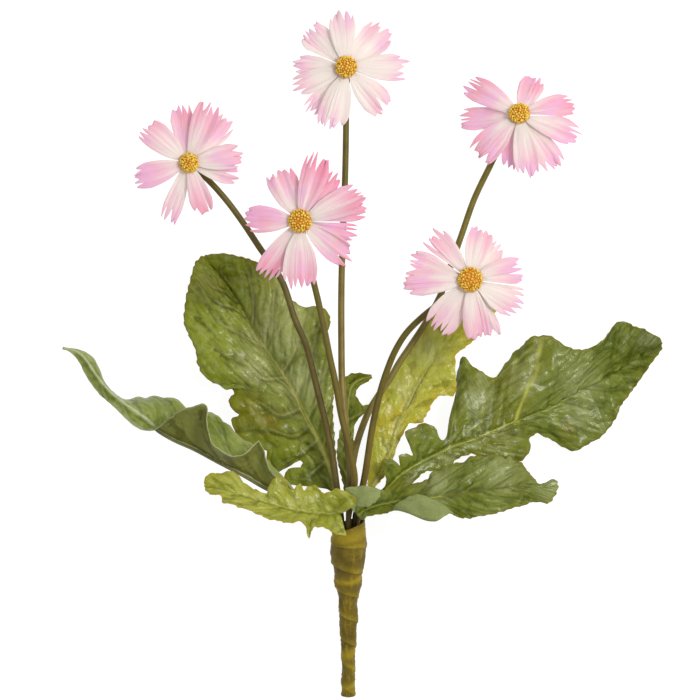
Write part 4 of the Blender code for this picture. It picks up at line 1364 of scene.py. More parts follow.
@dataclass
class Leaf:
    """A leaf: a lobed, veined blade, and the covered wire that runs behind it as its rib."""

    name: str
    slot: Slot
    front: LeafFinish
    back: LeafFinish
    seed: float
    hole: float
    arch: float
    rib: Route
    left: Margin
    right: Margin
    left_veins: Veins
    right_veins: Veins
    cord: Veins = ()
    # Where along the rib the painted crease shade runs; the default lies past the tip.
    crease: tuple[float, float] = (2.0, 3.0)
    rim: float = 1.0
    folds: tuple[Fold, ...] = ()
    rib_height: float = 0.7
    rib_print: float = 1.1
    # Painted shadows: a dark line beside each vein, shifted towards the stalk, and a broad shade towards the
    # stalk.
    shade_offset: float = 1.7
    shade_depth: float = 0.95
    shade_clear: tuple[float, float] = (1.0, 4.5)
    painted_base_shadow: float = 0.0
    base_reach: tuple[float, float] = (0.15, 0.5)
    crease_gap: float = 0.0
    flat_rib: float = 0.0
    # Patches of painted silvery sheen.
    bright: Spots = ()
    stains: Spots = ()
    rows: int = 180
    columns: int = 77
    thickness: float = 0.5
    relief: float = 2.8
    relief_mix: tuple[float, float, float] = (0.5, 0.22, 0.28)
    # How the relief's parts mix into the painted light and shade.
    tone_mix: tuple[float, float, float] = (0.4, 0.28, 0.32)
    pillow_width: float = 2.4
    lump_size: float = 6.5
    valley: tuple[float, float] = (0.3, 0.7)
    valley_reach: tuple[float, float] = (0.2, 2.5)
    hollow: float = 0.6
    hollow_reach: tuple[float, float] = (0.5, 4.0)
    hollow_clearance: tuple[float, float] = (0.8, 4.0)
    flat_reach: tuple[float, float] = (0.8, 4.5)
    rib_fade: float = 0.7
    rib_width: float = 0.8
    line_width: float = 0.6
    cord_height: float = 0.4
    cord_print: float = 0.85
    # How dark the painted crease shade is, and how softly it starts and ends.
    crease_depth: float = 0.85
    crease_fade: float = 0.04
    # A painted shadow: the dark band left of the rib.
    flank_gap: float = 1.9
    flank_width: float = 0.8
    flank_depth: float = 0.85
    flank_fade: float = 0.4
    vein_fade: float = 0.6
    cord_fade: float = 0.25
    slant: float = 1.2
    ridge_width: float = 8.0
    ridge_length: float = 10.0
    halves_apart: float = 5.0
    ridge_drift: float = 0.35
    ridge_drift_size: float = 16.0
    streak_width: float = 2.6
    streak_length: float = 7.0
    swell: float = 1.5
    swell_size: float = 22.0
    swell_reach: tuple[float, float] = (1.0, 9.0)
    wave: float = 0.9
    wave_length: float = 17.0
    tooth: float = 0.8
    tooth_length: float = 4.5
    wave_drift: float = 0.8
    drift_size: float = 14.0
    tooth_drift: float = 0.7
    tooth_slopes: tuple[float, float] = (0.7, 0.3)
    tooth_sizes: tuple[float, float] = (0.6, 0.8)
    tooth_patch: float = 6.0
    rim_start: float = 0.8
    full_room: float = 18.0
    least_room: float = 0.15
    near: float = 0.002
    line_points: int = 60
    wire_radius: float = 0.9
    wire_taper: float = 0.35
    wire_sink: float = 1.1
    wire_start: float = 0.03
    wire_end: float = 0.88
    wire_lead: float = 3.0
    wire_foot: float = 5.0
    wire_rib_rows: int = 40
    wire_rows: int = 110
    wire_sides: int = 14
    holes_radius: float = 6.5

    def grid(self, shares: np.ndarray, across: np.ndarray) -> tuple[np.ndarray, np.ndarray, np.ndarray]:
        """The blade's smooth middle surface.

        Args:
            shares: Places along the rib.
            across: Places across, from -1 at the left margin to 1 at the right.

        Returns:
            The points, the way that the front looks at each, and the way out from the rib.
        """
        knots = along(self.rib)
        rib = through(knots, self.rib, shares)
        onward = through(knots, self.rib, shares + self.near) - through(knots, self.rib, shares - self.near)
        points = np.empty((len(shares), len(across), 3))
        outs = np.empty_like(points)
        for column, t in enumerate(across):
            margin = self.left if t < 0 else self.right
            edge = through([row[0] for row in margin], [row[1:] for row in margin], shares)
            reach = edge - rib
            front = np.cross(onward, reach) if t < 0 else np.cross(reach, onward)
            width = np.linalg.norm(reach, axis=1)[:, None]
            swell = self.arch * width * 4.0 * abs(t) * (1.0 - abs(t))
            part, lift = self.folded(shares, t)
            points[:, column] = rib + part[:, None] * reach + (swell + lift[:, None]) * unit(front)
            outs[:, column] = unit(reach)
        fronts = unit(np.cross(np.gradient(points, axis=1), np.gradient(points, axis=0)))
        return points, fronts, outs

    def folded(self, shares: np.ndarray, t: float) -> tuple[np.ndarray, np.ndarray]:
        """Where a place across the blade lies once its lobes are folded over.

        Args:
            shares: Places along the rib.
            t: The place across, from -1 to 1.

        Returns:
            The share of the way out to the contour, and the height over the blade.
        """
        part = np.full(len(shares), abs(t))
        lift = np.zeros(len(shares))
        for fold in self.folds:
            if fold.side * t <= 0:
                continue
            inside = np.clip((shares - fold.start) / (fold.end - fold.start), 0.0, 1.0)
            swing = np.sin(math.pi * inside) ** fold.fullness
            path = abs(t) * (1 + fold.back * swing) - 1
            round_off = fold.roundness * swing + 1e-6
            bend = np.sqrt(path**2 + round_off**2)
            part = np.where(swing > 1e-3, 1 - bend, part)
            lift = lift + fold.height * swing * 0.5 * (1 + path / bend)
        return part, lift

    def distances(self, points: np.ndarray, left: Veins, right: Veins) -> tuple[np.ndarray, np.ndarray]:
        """How far each point of the blade is from the nearest of its lines.

        A line is drawn as it lies seen from above, and put on its own half of the blade.

        Args:
            points: The smooth surface.
            left: Lines of the left half.
            right: Lines of the right half.

        Returns:
            The distance in millimetres, and the share of the vein's length at the nearest place.
        """
        found = np.full(points.shape[:2], 1e3)
        place = np.zeros(points.shape[:2])
        middle = points.shape[1] // 2
        halves = (slice(0, middle + 1), slice(middle, None))
        for half, veins in zip(halves, (left, right)):
            patch = points[:, half].reshape(-1, 3)
            gap, share = found[:, half].ravel(), place[:, half].ravel()
            for vein in veins:
                bends = np.array([(*bend, 0.0) for bend in vein])
                line = through(along(bends), bends, np.linspace(0.0, 1.0, self.line_points))[:, :2]
                flat = np.linalg.norm(patch[None, :, :2] - line[:, None], axis=-1)
                nearest = np.argpartition(flat, 4, axis=1)[:, :4]
                weight = 1.0 / (np.take_along_axis(flat, nearest, axis=1) + 0.05) ** 2
                height = (patch[nearest, 2] * weight).sum(axis=1) / weight.sum(axis=1)
                for step, (flat_place, level) in enumerate(zip(line, height)):
                    far = np.linalg.norm(patch - np.array((*flat_place, level)), axis=-1)
                    share = np.where(far < gap, step / (self.line_points - 1), share)
                    gap = np.minimum(gap, far)
            found[:, half] = gap.reshape(found[:, half].shape)
            place[:, half] = share.reshape(place[:, half].shape)
        return found, place

    @staticmethod
    def patches(points: np.ndarray, spots: Spots) -> np.ndarray:
        """How far each point lies inside soft round patches.

        Args:
            points: The smooth surface.
            spots: The middle of each patch as seen from above, and its size.

        Returns:
            1 in the middle of a patch, falling to 0 outside.
        """
        inside = np.zeros(points.shape[:2])
        for x, y, size in spots:
            apart = np.hypot(points[..., 0] - x, points[..., 1] - y)
            inside = np.maximum(inside, bell(apart, size))
        return inside

    def shaded(self, veins: Veins) -> Veins:
        """The veins moved towards the stalk, where each one's painted shadow runs."""
        back = unit(np.subtract(self.rib[-1], self.rib[0])[:2]) * self.shade_offset
        return tuple(tuple((x - back[0], y - back[1]) for x, y in vein) for vein in veins)

    def survey(self) -> Survey:
        """Measures the blade's smooth surface.

        Returns:
            What is known of it.
        """
        shares = np.linspace(0.0, 1.0, self.rows)
        across = np.linspace(-1.0, 1.0, self.columns)
        smooth, fronts, outs = self.grid(shares, across)
        middle = smooth[:, [self.columns // 2]]
        width = np.linalg.norm(smooth[:, [0, -1]] - middle, axis=-1)
        reach = np.where(across < 0, width[:, :1], width[:, 1:])
        left = self.left_veins + self.cord
        return Survey(
            shares, across, smooth, fronts, outs,
            rib_gap=np.linalg.norm(smooth - middle, axis=-1),
            reach=reach,
            room=np.clip(reach / self.full_room, self.least_room, 1.0),
            veins=self.distances(smooth, left, self.right_veins),
            cords=self.distances(smooth, self.cord, ()),
            shades=self.distances(smooth, self.shaded(left), self.shaded(self.right_veins)),
        )

    def waved(self, seen: Survey) -> np.ndarray:
        """Waves the margins and cuts their teeth.

        Args:
            seen: The blade.

        Returns:
            The smooth surface's points with such margins.
        """
        points = seen.smooth.copy()
        outer = np.abs(seen.across) ** 3
        rim = ease(np.abs(seen.across), self.rim_start, 1.0)
        rising, falling = self.tooth_slopes
        least, more = self.tooth_sizes
        for column, half in ((0, seen.left), (-1, seen.across > 0)):
            edge = seen.smooth[:, column]
            arc = np.concatenate([[0.0], np.cumsum(np.linalg.norm(np.diff(edge, axis=0), axis=1))])
            drift = ripple(edge, self.drift_size, self.seed + column)
            bend = np.sin(math.tau * (arc / self.wave_length + self.wave_drift * drift)) * self.wave
            wave = seen.fronts[:, half] * bend[:, None, None]
            points[:, half] += wave * outer[half, None] * seen.room[:, half, None]
            comb = (arc / self.tooth_length + self.tooth_drift * drift) % 1.0
            bite = (np.where(comb < rising, comb / rising, (1 - comb) / falling) - 0.5) * self.tooth
            bite = bite * (least + more * np.abs(ripple(edge, self.tooth_patch, self.seed + 4)))
            points[:, half] += seen.outs[:, half] * bite[:, None, None] * rim[half, None]
        return points

    def crinkles(self, seen: Survey) -> tuple[np.ndarray, ...]:
        """The parts of the blade's relief.

        Args:
            seen: The blade.

        Returns:
            The pillows between veins, the ridges along them, the lumps, and the fine streaks.
        """
        middle = seen.smooth[:, self.columns // 2]
        length = np.linalg.norm(np.diff(middle, axis=0), axis=1).sum()
        combed = seen.along * length - self.slant * seen.rib_gap
        drift = self.ridge_drift * ripple(seen.smooth, self.ridge_drift_size, self.seed + 7, 1)
        apart = self.seed + self.halves_apart * seen.left
        turned = spread(combed / self.ridge_width + drift, seen.rib_gap / self.ridge_length, apart)
        fine = turned * (self.ridge_width / self.streak_width, self.ridge_length / self.streak_length, 1.0)
        both = np.minimum(seen.veins[0], seen.rib_gap)
        pillow = 1 - np.exp(-((both / self.pillow_width) ** 1.2))
        streak = np.clip(0.5 + 0.8 * ripple(fine, 1.0, self.seed + 5), 0.0, 1.0)
        ridges = crumple(turned, 1.0, self.seed)
        return pillow, ridges, crumple(seen.smooth, self.lump_size, self.seed + 9), streak

    def heights(self, seen: Survey, crinkles: list[np.ndarray]) -> np.ndarray:
        """How far each point stands over the smooth surface.

        Args:
            seen: The blade.
            crinkles: Its pillows, ridges and lumps.

        Returns:
            The heights.
        """
        rib_gap = seen.rib_gap
        both = np.minimum(seen.veins[0], rib_gap)
        cord_gap, cord_reached = seen.cords
        relief = sum(share * part for share, part in zip(self.relief_mix, crinkles))
        over_floor = ease(seen.smooth[..., 2], *self.hollow_clearance)
        drop = self.hollow * ease(rib_gap, *self.hollow_reach) * over_floor
        least, more = self.valley
        height = (relief - drop) * self.relief * (least + more * ease(both, *self.valley_reach))
        height = height * (1 - self.flat_rib * (1 - ease(rib_gap, *self.flat_reach)))
        swell = self.swell * ripple(seen.smooth, self.swell_size, self.seed + 3, 1)
        height = height + swell * ease(rib_gap, *self.swell_reach)
        ridge = self.rib_height * bell(rib_gap, self.rib_width) * (1 - self.rib_fade * seen.along)
        ridge = ridge + self.cord_height * bell(cord_gap, self.line_width) * (1 - 0.5 * cord_reached)
        return height * seen.room + ridge

    def toned(self, seen: Survey, crinkles: list[np.ndarray]) -> np.ndarray:
        """How light or dark the blade is painted: shading that follows its relief, and painted shadows.

        Args:
            seen: The blade.
            crinkles: Its pillows, ridges and lumps.

        Returns:
            From 0, dark, to 1, light.
        """
        shade_gap, shade_reached = seen.shades
        # Painted light on the relief's crests and painted shade in its hollows.
        tone = sum(share * part for share, part in zip(self.tone_mix, crinkles))
        low, high = np.percentile(tone, (3, 97))
        tone = np.clip((tone - low) / (high - low), 0.0, 1.0)
        # Painted shadow: a dark line beside each vein, kept off the right half next to the rib.
        clear = np.where(seen.left, 1.0, ease(seen.rib_gap, *self.shade_clear))
        tone = tone * (1 - self.shade_depth * bell(shade_gap, 1.0) * (1 - 0.5 * shade_reached) * clear)
        # Painted shade towards the stalk.
        tone = tone * (1 - self.painted_base_shadow * (1 - ease(seen.along, *self.base_reach)))
        # Painted shadow: a dark band left of the rib.
        rib_shadow = bell(seen.rib_gap - self.flank_gap, self.flank_width) * seen.left
        return tone * (1 - self.flank_depth * rib_shadow * (1 - self.flank_fade * seen.along))

    def prints_and_crease_shade(self, seen: Survey) -> dict[str, np.ndarray]:
        """Prints the veins, the rib and the margin, and paints the shade of the crease.

        Args:
            seen: The blade.

        Returns:
            How strong each print is, by attribute name.
        """
        gap, reached = seen.veins
        cord_gap, cord_reached = seen.cords
        midrib = bell(seen.rib_gap, self.rib_print * (1 - 0.5 * seen.along))
        # Painted shade in the crease along the rib, or beside it where a gap is given.
        opened, shut = self.crease
        folded = ease(seen.along, opened, opened + self.crease_fade)
        folded = folded * (1 - ease(seen.along, shut - self.crease_fade, shut))
        crease = self.crease_depth * folded * bell(seen.rib_gap - self.crease_gap, self.line_width)
        rim = seen.reach * (1 - np.abs(seen.across))
        cord = bell(cord_gap, self.cord_print) * (1 - self.cord_fade * cord_reached)
        return {
            "midrib": np.maximum(midrib, cord),
            "margin": np.exp(-((rim / self.rim) ** 1.5)),
            "crease": crease * seen.left if self.crease_gap else crease,
            "vein": bell(gap, self.line_width) * (1 - self.vein_fade * reached),
        }

    def build(self, wire: StemFinish, pick: Pick) -> None:
        """Cuts, presses and waves the blade and draws its wire.

        Args:
            wire: The cover's finish.
            pick: What its stalk stands in.
        """
        seen = self.survey()
        *crinkles, streak = self.crinkles(seen)
        points = self.waved(seen) + seen.fronts * self.heights(seen, crinkles)[..., None]
        sheet = Sheet(floor=self.thickness)
        # Besides the print, the values carry painted light and shade: the shading, the sheen patches and the
        # crease.
        sheet.add(
            points, grid_faces(self.rows, self.columns), tone=self.toned(seen, crinkles), streak=streak,
            bright=self.patches(seen.smooth, self.bright), stained=self.patches(seen.smooth, self.stains),
            run=np.repeat(seen.shares, self.columns), **self.prints_and_crease_shade(seen),
        )
        blade = sheet.object(f"{self.name}_blade")
        thicken(blade, self.thickness, back=1)
        finished(blade, self.slot, (self.name,), self.front.material(), self.back.material())
        self.stalk(seen, wire, pick)

    def stalk(self, seen: Survey, finish: StemFinish, pick: Pick) -> None:
        """Draws the wire from the pick's rim up the blade's back.

        Args:
            seen: The blade.
            finish: The cover's looks.
            pick: What it stands in.
        """
        at = np.linspace(self.wire_start, self.wire_end, self.wire_rib_rows)
        behind = unit(through(seen.shares, seen.fronts[:, self.columns // 2], at))
        rib = through(along(self.rib), self.rib, at) - behind * self.wire_sink
        turn = math.radians(self.hole)
        side, front = self.holes_radius * math.cos(turn), self.holes_radius * math.sin(turn)
        rim = pick.seat(side, front, 0.0)
        bends = np.vstack([rim, rim + self.wire_lead * pick.axis, rib])
        share = np.linspace(0.0, 1.0, self.wire_rows)
        line = np.vstack([pick.seat(side, front, self.wire_foot), through(along(bends), bends, share)])
        radii = self.wire_radius * (1 - self.wire_taper * np.concatenate([[0.0], share]))
        sheet = Sheet()
        capped(sheet, line, radii, self.wire_sides, run=np.concatenate([[0.0], share * 0.8]))
        finished(sheet.object(f"{self.name}_wire"), self.slot, (), finish.material())


@dataclass(frozen=True)
class Lamp:
    """A soft square lamp that faces the bush: its place and side in metres, its power in watts."""

    name: str
    place: Point
    size: float
    power: float
    colour: Colour = (1.0, 0.985, 0.955)

    def build(self) -> None:
        """Hangs the lamp."""
        light = bpy.data.lights.new(self.name, "AREA")
        light.size = self.size
        light.energy = self.power
        light.color = self.colour
        thing = linked(self.name, light)
        thing.location = self.place
        thing.rotation_euler = (-Vector(self.place)).to_track_quat("-Z", "Y").to_euler()


@dataclass(frozen=True)
class Studio:
    """A plain white board, soft light from the upper right and a long lens looking straight down."""

    centre: Point = (-0.0065, 0.003, 0.03)
    distance: float = 5.0
    frame_width: float = 0.350
    sensor: float = 36.0
    floor_size: float = 60.0
    sky: float = 0.31
    lamps: tuple[Lamp, ...] = (
        Lamp("key", (1.1, 0.75, 1.35), 1.7, 20.5),
        Lamp("spark", (0.8, 0.3, 1.6), 0.3, 11.0),
        Lamp("fill", (-0.9, -0.5, 1.8), 1.4, 8.5, colour=(0.97, 0.985, 1.0)),
    )

    def build(self, floor: FloorFinish) -> None:
        """Sets the floor, the lights, the sky and the camera.

        Args:
            floor: The board's looks.
        """
        half = self.floor_size / 2
        mesh = bpy.data.meshes.new("board")
        corners = [(-half, -half, 0), (half, -half, 0), (half, half, 0), (-half, half, 0)]
        mesh.from_pydata(corners, [], [(0, 1, 2, 3)])
        mesh.materials.append(floor.material())
        linked("board", mesh)
        for lamp in self.lamps:
            lamp.build()
        world = bpy.data.worlds.new("studio")
        world.use_nodes = True
        back = world.node_tree.nodes["Background"]
        back.inputs["Color"].default_value = (1.0, 1.0, 1.0, 1.0)
        back.inputs["Strength"].default_value = self.sky
        bpy.context.scene.world = world
        bpy.context.scene.view_settings.view_transform = "Standard"
        lens = bpy.data.cameras.new("photo_camera")
        lens.sensor_width = self.sensor
        lens.lens = self.sensor * self.distance / self.frame_width
        lens.clip_end = 100.0
        camera = linked("photo_camera", lens)
        camera.location = Vector(self.centre) + Vector((0.0, 0.0, self.distance))
        bpy.context.scene.camera = camera


BLOOMS = (
    Bloom(
        key="top", hub=(-8.4, 143.6, 50.0), face=(-0.04, 0.16, 1.0), eye=5.3, droop=3.4, blush=0.34,
        cover=(0.28, 0.205, 0.045),
        front=((0, 31, 14), (95, 29, 13.5), (201, 29, 11.5), (255, 32, 16), (312, 29.5, 15)),
        back=((47, 29, 16.5), (134, 29, 15.5), (174, 27, 10.5), (229, 30, 9.5)),
        root=(0.0, 0.0),
        route=((-6.5, -72, 34.8), (-6.5, -57, 37.5), (-8, -42, 38.5), (-9.5, -27, 38.5),
               (-10.5, -12, 38), (-10.8, 8, 37), (-10.8, 33, 36), (-10, 63, 36), (-9, 88, 36),
               (-8.5, 113, 36.5), (-8.4, 130, 37.5)),
    ),
    Bloom(
        key="left", hub=(-86.7, 96.0, 58.0), face=(0.03, 0.0, 1.0), eye=4.8, droop=2.2, blush=0.7,
        front=((70, 32.5, 13), (9, 27, 13), (288, 27, 11.5), (197, 28.5, 13), (140, 29, 14)),
        back=((99, 30, 11.5), (47, 31, 11.5), (345, 26, 11), (250, 32, 10)),
        root=(-3.3, 0.0),
        route=((-12, -74.5, 33.2), (-13.6, -62, 35.2), (-15.5, -48.8, 36.2), (-19, -32, 37),
               (-22.8, -16.5, 37.6), (-24.9, -8, 38), (-28.8, 6.5, 38.6), (-33.4, 17, 39.2),
               (-41, 38.5, 40), (-52.2, 55, 41), (-59.5, 66, 42), (-68, 77.5, 43.6),
               (-77, 87.5, 46)),
    ),
    Bloom(
        key="right_top", hub=(78.0, 120.0, 48.0), face=(-0.1, 0.42, 0.9), eye=5.2, droop=6.5, blush=0.78,
        cover=(0.27, 0.215, 0.055), crown=(0.17, 0.14, 0.018),
        front=((14, 28, 13), (337, 32, 13.5), (277, 33, 12.5), (224, 31, 16.5), (142, 34, 14)),
        back=((73, 26.5, 13), (304, 33, 13), (176, 31.5, 13), (255, 27, 9)),
        root=(0.0, -3.3),
        route=((-6.6, -72, 29.8), (-6, -62, 30.8), (-4.8, -52, 31.6), (-3.2, -44.5, 32.2),
               (-0.5, -36, 32.8), (3.5, -26.5, 33.4), (8.5, -18.5, 33.8), (14, -10.5, 34),
               (18, -3.5, 34.2), (23.7, 5, 34.4), (31.2, 16.5, 34.6), (38.5, 30, 34.8),
               (44.5, 47, 35), (49.4, 61, 35.2), (55.8, 79, 35.6), (62, 92, 36.2),
               (69, 105, 37.4)),
    ),
    Bloom(
        key="middle", hub=(-31.2, 66.8, 76.0), face=(-0.03, 0.06, 1.0), eye=5.7, droop=2.6, blush=0.93,
        front=((73, 34.5, 14), (24, 35.5, 15), (322, 31.5, 13.5), (270, 33.5, 17.5), (177, 28.5, 14)),
        back=((52, 31, 9), (10, 34.5, 10), (348, 30, 9.5), (236, 34, 13), (114, 29, 15.5)),
        root=(0.0, 3.3),
        route=((-6.2, -74, 37.4), (-4.2, -62, 41.6), (-5.5, -52.5, 45), (-8, -41, 48),
               (-10.8, -29.5, 50), (-13.6, -13.8, 52.4), (-16.2, -2.2, 54), (-19, 12, 56),
               (-22, 26, 58), (-25.6, 41, 60.5), (-28.6, 54, 63)),
    ),
    Bloom(
        key="right_low", hub=(53.0, 37.8, 70.0), face=(0.05, 0.06, 1.0), eye=6.1, droop=2.8, blush=0.5,
        front=((76, 27, 13.5), (12, 27, 14.5), (334, 29, 17), (278, 31, 13.5), (183, 33.5, 13.5)),
        back=((47, 25, 9), (296, 31.5, 8.5), (236, 31, 17), (158, 32, 10), (130, 31, 14)),
        root=(3.3, 0.0),
        route=((-2.4, -74.5, 34.4), (0.7, -61, 38), (2.5, -49.5, 41), (4.2, -38, 43.6),
               (6.5, -26.5, 46), (9.4, -15, 48.4), (12.2, -6.5, 50), (15.8, 2.2, 51.8),
               (21, 10.8, 54), (29.5, 19.5, 56), (40.5, 28, 57.4)),
    ),
)

OLIVE_GREEN = LeafFinish(
    "olive_green_leaf", dark=(0.052, 0.072, 0.001), mid=(0.145, 0.180, 0.005), light=(0.25, 0.298, 0.026),
    vein=(0.50, 0.50, 0.12), margin=(0.195, 0.160, 0.002), gleam=(0.45, 0.475, 0.21), comb=0.5,
    thread=0.65,
)
# Its whitish vein colour also paints a highlight line along the rib.
CURL_GREEN = LeafFinish(
    "curl_green_leaf", dark=(0.080, 0.105, 0.006), mid=(0.14, 0.185, 0.022), light=(0.24, 0.285, 0.055),
    vein=(0.46, 0.50, 0.28), margin=(0.35, 0.39, 0.17), gleam=(0.40, 0.43, 0.22), stain=0.08, comb=0.6,
)
BLUE_GREEN = LeafFinish(
    "blue_green_leaf", dark=(0.050, 0.072, 0.002), mid=(0.094, 0.122, 0.006), light=(0.155, 0.188, 0.020),
    vein=(0.42, 0.43, 0.07), margin=(0.17, 0.150, 0.003), gleam=(0.31, 0.34, 0.145), thread=0.25,
)
LIME = LeafFinish(
    "lime_leaf", dark=(0.135, 0.150, 0.006), mid=(0.240, 0.260, 0.020), light=(0.335, 0.350, 0.045),
    vein=(0.46, 0.47, 0.13), margin=(0.33, 0.28, 0.012), gleam=(0.50, 0.51, 0.21), comb=0.5,
    thread=0.3,
)
YELLOW_GREEN = LeafFinish(
    "yellow_green_leaf", dark=(0.20, 0.195, 0.006), mid=(0.315, 0.315, 0.014), light=(0.41, 0.43, 0.05),
    vein=(0.46, 0.47, 0.14), margin=(0.50, 0.36, 0.006), gleam=(0.52, 0.53, 0.19),
    crease=(0.10, 0.075, 0.01), stain=0.75, comb=0.4, thread=0.35,
)


def dull(
    name: str, dark: Colour, mid: Colour, light: Colour, vein: Colour, margin: Colour, stain: float = 0.1
) -> LeafFinish:
    """The unwaxed back of a leaf.

    Args:
        name: The finish's name.
        dark: Its darkest green.
        mid: Its ground.
        light: Its lightest green.
        vein: The colour of veins.
        margin: The colour of the margin and of stains.
        stain: How strong the stains are.

    Returns:
        The finish.
    """
    return LeafFinish(
        name, dark, mid, light, vein, margin, gleam=(0.27, 0.29, 0.10), stain=stain, comb=0.4,
        roughness=(0.45, 0.6), wax=0.0,
    )


DULL_GREEN = dull(
    "leaf_back_green", dark=(0.080, 0.080, 0.008), mid=(0.145, 0.15, 0.024), light=(0.20, 0.21, 0.045),
    vein=(0.19, 0.18, 0.05), margin=(0.30, 0.33, 0.12),
)
PALE_BACK = dull(
    "leaf_back_pale", dark=(0.15, 0.19, 0.055), mid=(0.20, 0.24, 0.075), light=(0.25, 0.29, 0.10),
    vein=(0.26, 0.31, 0.12), margin=(0.28, 0.32, 0.12),
)
DULL_LIME = dull(
    "leaf_back_lime", dark=(0.14, 0.14, 0.015), mid=(0.24, 0.245, 0.03), light=(0.32, 0.33, 0.06),
    vein=(0.36, 0.36, 0.10), margin=(0.38, 0.33, 0.05), stain=0.15,
)
STALK_LOW: Colour = (0.16, 0.15, 0.05)
STALK_HIGH: Colour = (0.17, 0.19, 0.05)

